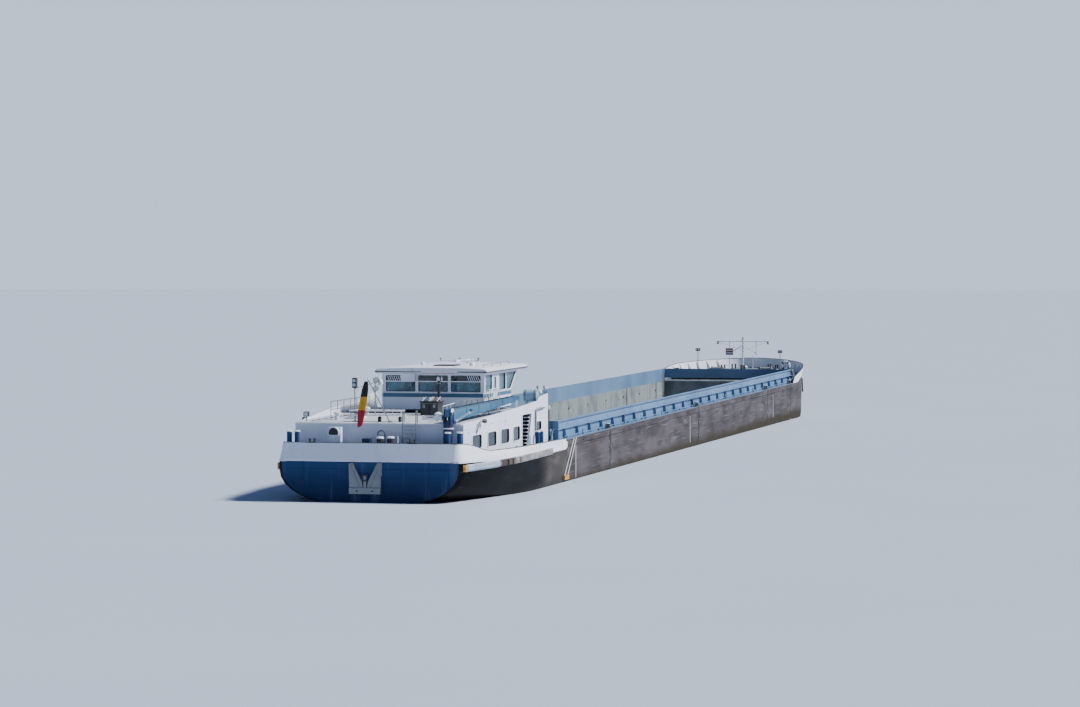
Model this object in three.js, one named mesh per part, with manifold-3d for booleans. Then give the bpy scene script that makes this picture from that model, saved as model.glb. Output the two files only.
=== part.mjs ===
// River barge: a 110 m self-propelled motor cargo barge with an open hold, at one tenth of real size.
// Frame: millimetres of the model, +X forward, +Y port, +Z up. The origin is under the middle of the
// whole barge, on the plane of its flat bottom. One real metre is 100 mm here.

import * as THREE from 'three';
import { mergeVertices } from 'three/addons/utils/BufferGeometryUtils.js';
import Module from 'manifold-3d';

const wasm = await Module();
wasm.setup();

// Driving dimensions of the hull
const TRANSOM_X = -5482;
const STEM_X = 5500;
const HALF_BEAM = 572.5;
const GUNWALE_Z = 360;
const AFT_DECK_Z = 350;
const HOLD_AFT_X = -3680;
const HOLD_FORE_X = 4245;
const HOLD_HALF = 505;
const TANK_TOP_Z = 60;
const BILGE_RADIUS = 45;
const GAP = 0.3;

// Coaming round the hold
const COAMING_TOP_Z = 459;
const COAMING_PLATE = 6;
const COAMING_FLANGE = 14;
const FLANGE_DEPTH = 8;
const STIFFENER_Z = 411;
const STIFFENER_DEPTH = 4;
const STIFFENER_OUT = 20;
const STAY_PITCH = 305;
const STAY_FOOT = 27;
const STAY_THICK = 3;

// Propeller, nozzle and rudders
const PROP_X = -4940;
const SHAFT_Z = 92;
const PROP_RADIUS = 72;
const HUB_RADIUS = 15;
const NOZZLE_INNER = 76;
const NOZZLE_OUTER = 84;
const NOZZLE_AFT_X = -4978;
const NOZZLE_FORE_X = -4902;
const TUNNEL_TOP_Z = 188;
const RUDDER_X = -5200;
const RUDDER_Y = 45;
const RUDDER_PAD_Z = 150;

// Deckhouse
const HOUSE_AFT_X = -5320;
const HOUSE_FORE_X = -3800;
const HOUSE_WALL = 8;
const HOUSE_AFT_HALF = 435;
const HOUSE_HALF = 485;
const HOUSE_FULL_X = -4580;
const ROOF_UNDER_Z = 521;
const ROOF_TOP_Z = 530;
const PANEL_END_X = -3770;

// Stair recess on the starboard side
const RECESS_AFT_X = -4340;
const RECESS_FORE_X = -4140;
const RECESS_IN_Y = 412;

// Wheelhouse and the column that lifts it
const LIFT_X = -4060;
const LIFT_HALF = 40;
const LIFT_CLEAR = 6;
const LIFT_FOOT_Z = 66;
const WELL_FLOOR_Z = 60;
const TRUNK_WALL = 6;
const WHEELHOUSE_AFT_X = -4330;
const WHEELHOUSE_FORE_X = -3770;
const WHEELHOUSE_BROW_X = -3630;
const WHEELHOUSE_HALF = 280;
const WHEELHOUSE_WALL = 6;
const WH_FLOOR_Z = 541;
const WH_WALL_Z = 547;
const WH_SILL_Z = 632;
const WH_TOP_Z = 738;

// Crane on the aft deck, starboard
const CRANE_X = -5380;
const CRANE_Y = -375;
const CRANE_RADIUS = 25;
const PIVOT_X = -5385;
const PIVOT_Z = 583;
const CYLINDER_Y = -409;
const CYLINDER_FOOT = { x: -5372, z: 541 };
const CYLINDER_HEAD = { x: -5030, z: 582 };

const paint = (color, roughness = 0.55, metalness = 0.0) =>
  new THREE.MeshStandardMaterial({ color, roughness, metalness });

const hullGrey = paint(0x6e6d72, 0.7);
const hullNavy = paint(0x22406b, 0.5);
const white = paint(0xe8eaee, 0.4);
const coamingBlue = paint(0x86aac2, 0.5);
const boomBlue = paint(0x5f8ba1, 0.45);
const craneNavy = paint(0x22406b, 0.45);
const deckGrey = paint(0x59636b, 0.8);
const steel = paint(0x9a9ea3, 0.4, 0.8);
const darkGrey = paint(0x33363b, 0.6);
const black = paint(0x161719, 0.5);
const bronze = paint(0xa9803f, 0.35, 0.9);
const timber = paint(0xb98b4a, 0.8);
const cloth = paint(0x8a1f1f, 0.9);

const barge = new THREE.Group();

// Every geometry is reduced to merged positions, so that booleans and the STEP writer see one closed mesh.
function bare(geometry) {
  const plain = geometry.clone();
  for (const name of Object.keys(plain.attributes)) {
    if (name !== 'position') plain.deleteAttribute(name);
  }
  return mergeVertices(plain, 1e-3);
}

function toSolid(geometry) {
  const merged = bare(geometry);
  return new wasm.Manifold(new wasm.Mesh({
    numProp: 3,
    vertProperties: new Float32Array(merged.attributes.position.array),
    triVerts: new Uint32Array(merged.index.array),
  }));
}

function toGeometry(manifold) {
  const mesh = manifold.getMesh();
  const geometry = new THREE.BufferGeometry();
  geometry.setAttribute('position', new THREE.BufferAttribute(mesh.vertProperties.slice(), 3));
  geometry.setIndex(new THREE.BufferAttribute(mesh.triVerts.slice(), 1));
  return geometry;
}

function join(geometries) {
  const [first, ...rest] = geometries.map(toSolid);
  return toGeometry(rest.reduce((sum, next) => sum.add(next), first));
}

function cut(geometry, cutters) {
  return toGeometry(cutters.map(toSolid).reduce((left, next) => left.subtract(next), toSolid(geometry)));
}

function node(name, geometry, material, parent = barge) {
  const mesh = new THREE.Mesh(geometry, material);
  mesh.name = name;
  parent.add(mesh);
  return mesh;
}

function box(x0, x1, y0, y1, z0, z1) {
  const geometry = new THREE.BoxGeometry(x1 - x0, y1 - y0, z1 - z0);
  return geometry.translate((x0 + x1) / 2, (y0 + y1) / 2, (z0 + z1) / 2);
}

const FROM_YZ = new THREE.Matrix4().makeBasis(
  new THREE.Vector3(0, 1, 0), new THREE.Vector3(0, 0, 1), new THREE.Vector3(1, 0, 0));

function extrude(points, depth) {
  const shape = new THREE.Shape(points.map(([a, b]) => new THREE.Vector2(a, b)));
  return new THREE.ExtrudeGeometry(shape, { depth, bevelEnabled: false, curveSegments: 8 });
}

// An outline in y and z, pushed along X; in x and z, pushed along Y; in x and y, pushed along Z.
const alongX = (outline, x0, x1) => extrude(outline, x1 - x0).applyMatrix4(FROM_YZ).translate(x0, 0, 0);
const alongY = (outline, y0, y1) => extrude(outline, y1 - y0).rotateX(Math.PI / 2).translate(0, y1, 0);
const alongZ = (outline, z0, z1) => extrude(outline, z1 - z0).translate(0, 0, z0);

// A round bar between two points.
function bar(from, to, radius, sides = 8, radiusEnd = radius) {
  const start = new THREE.Vector3(...from);
  const end = new THREE.Vector3(...to);
  const axis = end.clone().sub(start);
  const geometry = new THREE.CylinderGeometry(radiusEnd, radius, axis.length(), sides);
  const along = axis.clone().normalize();
  geometry.applyQuaternion(new THREE.Quaternion().setFromUnitVectors(new THREE.Vector3(0, 1, 0), along));
  return geometry.translate(...start.add(end).multiplyScalar(0.5).toArray());
}

const post = (x, y, z0, z1, radius, sides = 12) => bar([x, y, z0], [x, y, z1], radius, sides);

// A closed skin over rings of points, each ring a convex outline with the same number of points.
function loft(rings) {
  const count = rings[0].length;
  const positions = rings.flat(2);
  const index = [];
  for (let k = 0; k + 1 < rings.length; k++) {
    for (let i = 0; i < count; i++) {
      const j = (i + 1) % count;
      const a = k * count;
      const b = a + count;
      index.push(a + i, a + j, b + j, a + i, b + j, b + i);
    }
  }
  const last = (rings.length - 1) * count;
  for (let i = 1; i + 1 < count; i++) {
    index.push(0, i + 1, i);
    index.push(last, last + i, last + i + 1);
  }
  const geometry = new THREE.BufferGeometry();
  geometry.setAttribute('position', new THREE.Float32BufferAttribute(positions, 3));
  geometry.setIndex(index);
  return outward(geometry);
}

// Turns the faces round when the enclosed volume comes out negative.
function outward(geometry) {
  const p = geometry.attributes.position;
  const index = Array.from(geometry.index.array);
  const at = (i) => new THREE.Vector3().fromBufferAttribute(p, i);
  let volume = 0;
  for (let i = 0; i < index.length; i += 3) {
    volume += at(index[i]).dot(at(index[i + 1]).cross(at(index[i + 2])));
  }
  if (volume < 0) {
    for (let i = 0; i < index.length; i += 3) {
      const held = index[i];
      index[i] = index[i + 1];
      index[i + 1] = held;
    }
    geometry.setIndex(index);
  }
  return geometry;
}

// A standing plate that follows a path. Each step has x, y, the inward direction, foot and top heights,
// and lean, how far the top stands inboard of the foot.
function standingPlate(path, thickness) {
  return loft(path.map(({ x, y, inX, inY, foot, top, lean = 0 }) => [
    [x, y, foot],
    [x + inX * lean, y + inY * lean, top],
    [x + inX * (lean + thickness), y + inY * (lean + thickness), top],
    [x + inX * thickness, y + inY * thickness, foot],
  ]));
}

// Linear reading of a table of [x, value] rows.
function read(table, x) {
  const rows = table.findIndex(([at]) => at >= x);
  if (rows === -1) return table[table.length - 1][1];
  if (rows === 0) return table[0][1];
  const [x0, v0] = table[rows - 1];
  const [x1, v1] = table[rows];
  return v0 + (v1 - v0) * (x - x0) / (x1 - x0);
}

const mirror = (points) => points.map(([x, y, ...rest]) => [x, -y, ...rest]);

// Hull sections. Each row: x, half breadth at the deck, deck height, half breadth at the knee,
// height of the knee, half breadth of the floor, height of the floor.
const AFT_SECTIONS = [
  [TRANSOM_X, 430, AFT_DECK_Z, 430, 300, 120, 130],
  [-5478, 455, AFT_DECK_Z, 455, 300, 122, 129],
  [-5463, 469, AFT_DECK_Z, 469, 298, 126, 127],
  [-5435, 480, AFT_DECK_Z, 480, 296, 132, 124],
  [-5300, 507, AFT_DECK_Z, 507, 286, 160, 113],
  [-5080, 540, AFT_DECK_Z, 540, 262, 205, 96],
  [-4880, 560, AFT_DECK_Z, 560, 235, 250, 72],
  [-4680, 569, AFT_DECK_Z, 569, 200, 300, 40],
  [-4430, 572.5, AFT_DECK_Z, 572.5, 150, 360, 0],
  [-4030, 572.5, AFT_DECK_Z, 572.5, 85, 450, 0],
  [HOLD_AFT_X, 572.5, AFT_DECK_Z, 572.5, BILGE_RADIUS, HALF_BEAM - BILGE_RADIUS, 0],
];

const FORE_SECTIONS = [
  [HOLD_FORE_X, 572.5, GUNWALE_Z, 572.5, BILGE_RADIUS, HALF_BEAM - BILGE_RADIUS, 0],
  [4400, 566, 385, 564, 70, 500, 0],
  [4600, 547, 395, 540, 105, 440, 0],
  [4800, 515, 400, 500, 145, 370, 0],
  [5000, 462, 406, 440, 190, 285, 4],
  [5180, 388, 412, 355, 240, 190, 22],
  [5320, 300, 418, 258, 285, 105, 62],
  [5420, 205, 423, 160, 325, 50, 125],
  [5480, 105, 427, 72, 355, 18, 205],
  [STEM_X, 45, 429, 28, 372, 6, 262],
];

const ARC_STEPS = 8;

function hullRing([x, deckHalf, deckZ, kneeHalf, kneeZ, floorHalf, floorZ]) {
  const port = [[x, deckHalf, deckZ]];
  for (let i = 0; i <= ARC_STEPS; i++) {
    const turn = (Math.PI / 2) * (i / ARC_STEPS);
    port.push([
      x,
      floorHalf + (kneeHalf - floorHalf) * Math.cos(turn),
      kneeZ - (kneeZ - floorZ) * Math.sin(turn),
    ]);
  }
  return port.concat(mirror(port).reverse());
}

// Double bollards: a foot plate and two capped posts, all one body with the deck that carries them.
function bollardPair({ x, y, dx = 0, dy = 0, height, radius = 13 }, deckZ) {
  const reachX = Math.abs(dx) + radius + 6;
  const reachY = Math.abs(dy) + radius + 6;
  const parts = [box(x - reachX, x + reachX, y - reachY, y + reachY, deckZ - 2, deckZ + 4)];
  for (const side of [-1, 1]) {
    const [px, py] = [x + side * dx, y + side * dy];
    parts.push(post(px, py, deckZ, deckZ + height, radius, 14));
    parts.push(post(px, py, deckZ + height - 5, deckZ + height + 1, radius + 3, 14));
  }
  return parts;
}

// Aft hull with the propeller tunnel, stern tube, lift well and deck fittings
function tunnelRing([x, half, top]) {
  const corner = 30;
  const foot = -20;
  const port = [[x, half, foot], [x, half, top - corner]];
  for (let i = 1; i <= 4; i++) {
    const turn = (Math.PI / 2) * (i / 4);
    port.push([x, half - corner + corner * Math.cos(turn), top - corner + corner * Math.sin(turn)]);
  }
  return port.concat(mirror(port).reverse());
}

// Each row: x, half breadth, height of the crown.
const TUNNEL = [
  [-5420, 90, 100],
  [-5330, 158, 160],
  [-5050, 150, TUNNEL_TOP_Z],
  [-4880, 125, TUNNEL_TOP_Z],
  [-4560, 80, 40],
];

const HATCH_AFT = { x: -5405, y: 325, half: 34, rise: 14 };
const HATCH_FORE = { x: 4540, y: 0, half: 40, rise: 20 };
const FORE_HATCH_DECK_Z = 392;
const FORE_BOLLARD_DECK_Z = 393;
const BOW_WINCH_DECK_Z = 404.5;
const hatchRim = ({ x, y, half, rise }, deckZ) => cut(
  box(x - half, x + half, y - half, y + half, deckZ - 4, deckZ + rise),
  [box(x - half + 5, x + half - 5, y - half + 5, y + half - 5, deckZ + 1, deckZ + rise + 5)]);

const AFT_BOLLARDS = [
  { x: -5418, y: 413, dy: 20, height: 141 },
  { x: -5414, y: -412, dx: -16, dy: 26, height: 141 },
  { x: -4120, y: -524, dx: 40, height: 80 },
  { x: -3935, y: 526, dx: 40, height: 80 },
];
const FORE_BOLLARDS = [
  { x: 4560, y: 470, dx: 26, height: 60 },
  { x: 4560, y: -470, dx: 26, height: 60 },
];
const STERN_TUBE_FACE_X = -4868;
node('aft_hull', join([
  cut(loft(AFT_SECTIONS.map(hullRing)), [
    loft(TUNNEL.map(tunnelRing)),
    box(LIFT_X - LIFT_HALF - LIFT_CLEAR, LIFT_X + LIFT_HALF + LIFT_CLEAR,
      -LIFT_HALF - LIFT_CLEAR, LIFT_HALF + LIFT_CLEAR, WELL_FLOOR_Z, AFT_DECK_Z + 10),
  ]),
  bar([STERN_TUBE_FACE_X, 0, SHAFT_Z], [-4560, 0, SHAFT_Z], 17, 16),
  box(-4850, -4560, -6, 6, 80, 200),
  ...[-RUDDER_Y, RUDDER_Y].map((y) => post(RUDDER_X, y, RUDDER_PAD_Z, 190, 13)),
  post(CRANE_X, CRANE_Y, AFT_DECK_Z - 5, 372, 33, 20),
  ...AFT_BOLLARDS.flatMap((pair) => bollardPair(pair, AFT_DECK_Z)),
  hatchRim(HATCH_AFT, AFT_DECK_Z),
]), hullNavy);

const BOW_MAST_X = 4970;
node('fore_hull', join([
  loft(FORE_SECTIONS.map(hullRing)),
  ...FORE_BOLLARDS.flatMap((pair) => bollardPair(pair, FORE_BOLLARD_DECK_Z)),
  hatchRim(HATCH_FORE, FORE_HATCH_DECK_Z),
  box(BOW_MAST_X - 16, BOW_MAST_X + 16, -18, -9, 400, 468),
  box(BOW_MAST_X - 16, BOW_MAST_X + 16, 9, 18, 400, 468),
]), hullGrey);

// Double bottom: its top is the hold's floor
node('double_bottom', box(HOLD_AFT_X, HOLD_FORE_X, -HOLD_HALF, HOLD_HALF, 0, TANK_TOP_Z), hullGrey);

// Wing tanks, with round bilges, the groove along the side and a row of bollards on deck
const GROOVE_LOW_Z = 316;
const GROOVE_HIGH_Z = 324;
const BERTH_XS = [-2600, 95, 2820, 3900];
for (const [side, label] of [[1, 'port'], [-1, 'starboard']]) {
  const bilge = Array.from({ length: 6 }, (unused, i) => {
    const turn = (Math.PI / 2) * (i / 5);
    return [
      HALF_BEAM - BILGE_RADIUS + BILGE_RADIUS * Math.sin(turn),
      BILGE_RADIUS - BILGE_RADIUS * Math.cos(turn),
    ];
  });
  const outline = [
    [HOLD_HALF, 0], ...bilge, [HALF_BEAM, GROOVE_LOW_Z],
    [HALF_BEAM - 3, GROOVE_LOW_Z + 1], [HALF_BEAM - 3, GROOVE_HIGH_Z - 1], [HALF_BEAM, GROOVE_HIGH_Z],
    [HALF_BEAM, GUNWALE_Z], [HOLD_HALF, GUNWALE_Z],
  ].map(([y, z]) => [side * y, z]);
  const posts = BERTH_XS.flatMap((x) => [
    post(x, side * 555, GUNWALE_Z - 4, GUNWALE_Z + 26, 9),
    post(x, side * 555, GUNWALE_Z + 22, GUNWALE_Z + 28, 12),
  ]);
  node(`wing_${label}`, join([alongX(outline, HOLD_AFT_X, HOLD_FORE_X), ...posts]), hullGrey);
}

// Coamings along each side and across each end of the hold: a plate with a flange along its top,
// a stiffener half way up, and stays from the deck to the stiffener
function stayCentres(from, to, pitch) {
  const count = Math.round((to - from) / pitch);
  return Array.from({ length: count }, (unused, i) => Math.round(from + (i + 0.5) * (to - from) / count));
}

function coamingSection(foot) {
  const out = COAMING_PLATE;
  const underFlange = COAMING_TOP_Z - FLANGE_DEPTH;
  const stiffenerTop = STIFFENER_Z + STIFFENER_DEPTH;
  return {
    plate: [[0, foot], [out, foot], [out, STIFFENER_Z], [STIFFENER_OUT, STIFFENER_Z],
      [STIFFENER_OUT, stiffenerTop], [out, stiffenerTop], [out, underFlange],
      [COAMING_FLANGE, underFlange], [COAMING_FLANGE, COAMING_TOP_Z], [0, COAMING_TOP_Z]],
    stay: [[out - 3, foot + 1], [STAY_FOOT, foot + 1], [STIFFENER_OUT - 1, STIFFENER_Z + 1],
      [out - 3, STIFFENER_Z + 1]],
  };
}

for (const [side, label] of [[1, 'port'], [-1, 'starboard']]) {
  const { plate, stay } = coamingSection(GUNWALE_Z);
  const place = (outline) => outline.map(([out, z]) => [side * (HOLD_HALF + out), z]);
  const stays = stayCentres(HOLD_AFT_X, HOLD_FORE_X, STAY_PITCH).map((x) =>
    alongX(place(stay), x - STAY_THICK / 2, x + STAY_THICK / 2));
  node(`coaming_${label}`, join([alongX(place(plate), HOLD_AFT_X, HOLD_FORE_X), ...stays]), coamingBlue);
}
// The fore deck starts higher than the side decks, and the fore coaming stands on it.
const FORE_COAMING_FOOT_Z = 386;
const END_COAMINGS = [
  { side: -1, label: 'aft', edge: HOLD_AFT_X, foot: AFT_DECK_Z },
  { side: 1, label: 'fore', edge: HOLD_FORE_X, foot: FORE_COAMING_FOOT_Z },
];
for (const { side, label, edge, foot } of END_COAMINGS) {
  const { plate, stay } = coamingSection(foot);
  const place = (outline) => outline.map(([out, z]) => [edge + side * out, z]);
  const half = HOLD_HALF + STIFFENER_OUT;
  const stays = stayCentres(-HOLD_HALF, HOLD_HALF, 200).map((y) =>
    alongY(place(stay), y - STAY_THICK / 2, y + STAY_THICK / 2));
  node(`coaming_${label}`, join([alongY(place(plate), -half, half), ...stays]), coamingBlue);
}

// Bulwark round the stern. Each row: x, y, inward x, inward y, top, lean.
const STERN_RAIL = [
  [-3700, 570.5, 0, -1, 365, 0],
  [-4100, 570.5, 0, -1, 370, 1],
  [-4430, 570.5, 0, -1, 374, 2],
  [-4680, 567, -0.02, -1, 377, 4],
  [-4880, 558, 0.06, -1, 380, 6],
  [-5130, 533, 0.12, -0.99, 385, 8],
  [-5210, 520, 0.14, -0.99, 394, 10],
  [-5290, 508, 0.16, -0.98, 412, 13],
  [-5370, 493, 0.18, -0.98, 428, 16],
  [-5435, 478, 0.25, -0.96, 433, 17],
  [-5463, 466, 0.5, -0.86, 434, 17],
  [-5477, 450, 0.86, -0.5, 434.5, 17],
  [-5483, 429, 1, 0, 435, 17],
];
const railStep = (foot) => ([x, y, inX, inY, top, lean]) => ({ x, y, inX, inY, foot, top, lean });
const otherSide = (row) => [row[0], -row[1], row[2], -row[3], ...row.slice(4)];
const BULWARK_THICK = 7;
node('bulwark_stern', standingPlate(
  [...STERN_RAIL, ...STERN_RAIL.map(otherSide).reverse()].map(railStep(AFT_DECK_Z)), BULWARK_THICK), white);

// Bulwark round the bow: its aft ends, on the wing decks, slope up to full height.
const BOW_RAIL = [
  [4020, 570.5, 0, -1, 363, 0],
  [4090, 570.5, 0, -1, 405, 0],
  [HOLD_FORE_X, 570.5, 0, -1, 425, 0],
  [4400, 563.5, -0.07, -1, 440, -4],
  [4600, 545, -0.13, -0.99, 462, -10],
  [4800, 512.5, -0.22, -0.97, 480, -14],
  [5000, 459.5, -0.33, -0.94, 486, -16],
  [5180, 385.5, -0.47, -0.88, 492, -16],
  [5320, 298, -0.6, -0.8, 497, -16],
  [5420, 203.5, -0.76, -0.65, 502, -14],
  [5470, 118, -0.9, -0.44, 505, -8],
  [5494, 44, -0.99, -0.15, 507, 0],
];
const BOW_DECK = FORE_SECTIONS.map(([x, , deckZ]) => [x, deckZ]);
const bowStep = ([x, y, inX, inY, top, lean]) => (
  { x, y, inX, inY, foot: x > HOLD_FORE_X ? read(BOW_DECK, x) + GAP : GUNWALE_Z + GAP, top, lean });
node('bulwark_bow', standingPlate(
  [...BOW_RAIL, ...BOW_RAIL.map(otherSide).reverse()].map(bowStep), BULWARK_THICK), white);

// Rubbing strake under the white band at the stern, each side
const STRAKE_LOW_Z = 298;
const STRAKE_HIGH_Z = 334;
const STRAKE_PROUD = 7;
const strakeRun = AFT_SECTIONS.filter(([x]) => x >= -5435 && x <= -4030);
for (const [side, label] of [[1, 'port'], [-1, 'starboard']]) {
  node(`strake_${label}`, loft(strakeRun.map(([x, y]) => {
    const proud = Math.min(STRAKE_PROUD, HALF_BEAM + 6 - y);
    return [
      [x, side * (y + GAP), STRAKE_LOW_Z], [x, side * (y + proud), STRAKE_LOW_Z + 4],
      [x, side * (y + proud), STRAKE_HIGH_Z - 4], [x, side * (y + GAP), STRAKE_HIGH_Z],
    ];
  })), steel);
}

// Deckhouse side walls: the wall runs up past the roof as a panel whose top climbs forward.
// Each row: x, half breadth, top.
const HOUSE_SIDE = [
  [HOUSE_AFT_X, HOUSE_AFT_HALF, 522],
  [-4730, 474.9, 555],
  [HOUSE_FULL_X, HOUSE_HALF, 560],
  [-3980, HOUSE_HALF, 582],
  [-3940, HOUSE_HALF, 600],
  [PANEL_END_X, HOUSE_HALF, 612],
];
const houseHalf = (x) => read(HOUSE_SIDE, x);

// Windows of the side walls. Each row: aft edge, fore edge, sill, head.
const HOUSE_WINDOWS = [
  [-5188, -5045, 394, 463],
  [-4948, -4813, 393, 466],
  [-4739, -4607, 395, 469],
  [-4528, -4390, 397, 470],
  [-4032, -3922, 424, 473],
];
// The stair opening's fore edge leans forward with the stair.
const STAIR_OPENING = [[RECESS_AFT_X, 356], [-4208, 356], [RECESS_FORE_X, 524], [RECESS_AFT_X, 524]];
const HOUSE_DOOR = { aft: -4300, fore: -4222, sill: 380, head: 510 };
const DOOR_CLEAR = 1.5;
const corners = (x0, x1, z0, z1) => [[x0, z0], [x1, z0], [x1, z1], [x0, z1]];
const widened = ({ aft, fore, sill, head }, by) => corners(aft - by, fore + by, sill - by, head + by);
const throughSide = (side, outline) => alongY(outline, side > 0 ? 380 : -600, side > 0 ? 600 : -380);

for (const [side, label] of [[1, 'port'], [-1, 'starboard']]) {
  const steps = HOUSE_SIDE.map(([x, y, top]) => (
    { x, y: side * y, inX: 0, inY: -side, foot: AFT_DECK_Z, top }));
  const doorway = side > 0 ? widened(HOUSE_DOOR, DOOR_CLEAR) : STAIR_OPENING;
  const holes = [...HOUSE_WINDOWS.map((window) => corners(...window)), doorway];
  node(`house_wall_${label}`,
    cut(standingPlate(steps, HOUSE_WALL), holes.map((hole) => throughSide(side, hole))), white);
}
const insideHalf = (x) => houseHalf(x) - HOUSE_WALL - GAP;
node('house_wall_aft', box(HOUSE_AFT_X, HOUSE_AFT_X + HOUSE_WALL,
  -insideHalf(HOUSE_AFT_X), insideHalf(HOUSE_AFT_X), AFT_DECK_Z, ROOF_UNDER_Z), white);
const FRONT_WINDOWS = [-360, -200, 200, 360];
node('house_wall_fore', cut(box(HOUSE_FORE_X, HOUSE_FORE_X + HOUSE_WALL,
  -insideHalf(HOUSE_FORE_X), insideHalf(HOUSE_FORE_X), AFT_DECK_Z, ROOF_UNDER_Z),
  FRONT_WINDOWS.map((y) => box(HOUSE_FORE_X - 5, HOUSE_FORE_X + 15, y - 45, y + 45, 420, 490))), white);

const ROOF_FORE_X = -3784;
const roofHalf = [
  [-5338, insideHalf(HOUSE_AFT_X)], [HOUSE_AFT_X, insideHalf(HOUSE_AFT_X)],
  [HOUSE_FULL_X, insideHalf(HOUSE_FULL_X)], [ROOF_FORE_X, insideHalf(ROOF_FORE_X)],
];
const liftHole = LIFT_HALF + LIFT_CLEAR;
node('house_roof', cut(
  alongZ([...roofHalf, ...mirror(roofHalf).reverse()], ROOF_UNDER_Z, ROOF_TOP_Z), [
    box(LIFT_X - liftHole, LIFT_X + liftHole, -liftHole, liftHole, ROOF_UNDER_Z - 5, ROOF_TOP_Z + 5),
    box(RECESS_AFT_X - 4, RECESS_FORE_X + 4, -500, -RECESS_IN_Y + 4, ROOF_UNDER_Z - 5, ROOF_TOP_Z + 5),
  ]), white);

// Steep stair in its recess: three casing walls, and treads that climb forward to the roof
const TREADS = 8;
const TREAD_DEPTH = 24;
const TREAD_RUN = 8;
const FIRST_TREAD_X = RECESS_FORE_X - 2 - TREAD_DEPTH - (TREADS - 1) * TREAD_RUN;
const treadRise = (ROOF_UNDER_Z - AFT_DECK_Z) / (TREADS + 1);
const recessOut = -(houseHalf(RECESS_AFT_X) - HOUSE_WALL - 1);
node('stair', join([
  box(RECESS_AFT_X - 3, RECESS_FORE_X + 3, -RECESS_IN_Y, -RECESS_IN_Y + 3, AFT_DECK_Z, ROOF_TOP_Z - 1),
  box(RECESS_AFT_X - 3, RECESS_AFT_X, recessOut, -RECESS_IN_Y + 1, AFT_DECK_Z, ROOF_TOP_Z - 1),
  box(RECESS_FORE_X, RECESS_FORE_X + 3, recessOut, -RECESS_IN_Y + 1, AFT_DECK_Z, ROOF_TOP_Z - 1),
  ...Array.from({ length: TREADS }, (unused, i) => {
    const x = FIRST_TREAD_X + i * TREAD_RUN;
    const z = Math.round(AFT_DECK_Z + (i + 1) * treadRise);
    return box(x, x + TREAD_DEPTH, recessOut + 2, -RECESS_IN_Y + 1, z - 2, z + 1);
  }),
]), darkGrey);

// Trunk that guides the lift column
// The trunk's mouth and the column's foot each carry four guide pads, which keep a running gap.
const PAD_HALF = 14;
const PAD_HEIGHT = 20;
function guidePads(inner, outer, z) {
  return [
    box(LIFT_X + inner, LIFT_X + outer, -PAD_HALF, PAD_HALF, z, z + PAD_HEIGHT),
    box(LIFT_X - outer, LIFT_X - inner, -PAD_HALF, PAD_HALF, z, z + PAD_HEIGHT),
    box(LIFT_X - PAD_HALF, LIFT_X + PAD_HALF, inner, outer, z, z + PAD_HEIGHT),
    box(LIFT_X - PAD_HALF, LIFT_X + PAD_HALF, -outer, -inner, z, z + PAD_HEIGHT),
  ];
}
node('lift_trunk', join([
  cut(box(LIFT_X - liftHole - TRUNK_WALL, LIFT_X + liftHole + TRUNK_WALL,
    -liftHole - TRUNK_WALL, liftHole + TRUNK_WALL, AFT_DECK_Z, ROOF_UNDER_Z),
  [box(LIFT_X - liftHole, LIFT_X + liftHole, -liftHole, liftHole, AFT_DECK_Z - 5, ROOF_UNDER_Z + 5)]),
  ...guidePads(LIFT_HALF + GAP, liftHole + 2, ROOF_UNDER_Z - PAD_HEIGHT - 3),
]), steel);

// Wheelhouse, all on the lift: the floor carries the console and the helm seat
function console() {
  return [
    box(-3860, -3790, -200, 200, WH_WALL_Z - 2, 620),
    box(-3895, -3855, -200, 200, 604, 618),
    box(-3930, -3885, 120, 200, WH_WALL_Z - 2, 618),
    box(-3930, -3885, -200, -120, WH_WALL_Z - 2, 618),
  ];
}
function helmSeat() {
  return [
    post(-3990, 0, WH_WALL_Z - 2, 590, 8),
    box(-4018, -3962, -27, 27, 588, 600),
    alongY([[-4024, 596], [-4012, 596], [-4022, 668], [-4034, 668]], -26, 26),
  ];
}
const wheelhouse = new THREE.Group();
barge.add(wheelhouse);
node('lift_column', join([
  box(LIFT_X - LIFT_HALF, LIFT_X + LIFT_HALF, -LIFT_HALF, LIFT_HALF, LIFT_FOOT_Z, WH_FLOOR_Z),
  ...guidePads(LIFT_HALF - 2, liftHole - GAP, LIFT_FOOT_Z + 3),
]), steel, wheelhouse);
node('wheelhouse_floor', join([
  box(WHEELHOUSE_AFT_X, WHEELHOUSE_FORE_X, -WHEELHOUSE_HALF, WHEELHOUSE_HALF, WH_FLOOR_Z, WH_WALL_Z),
  ...console(), ...helmSeat(),
]), darkGrey, wheelhouse);

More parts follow.
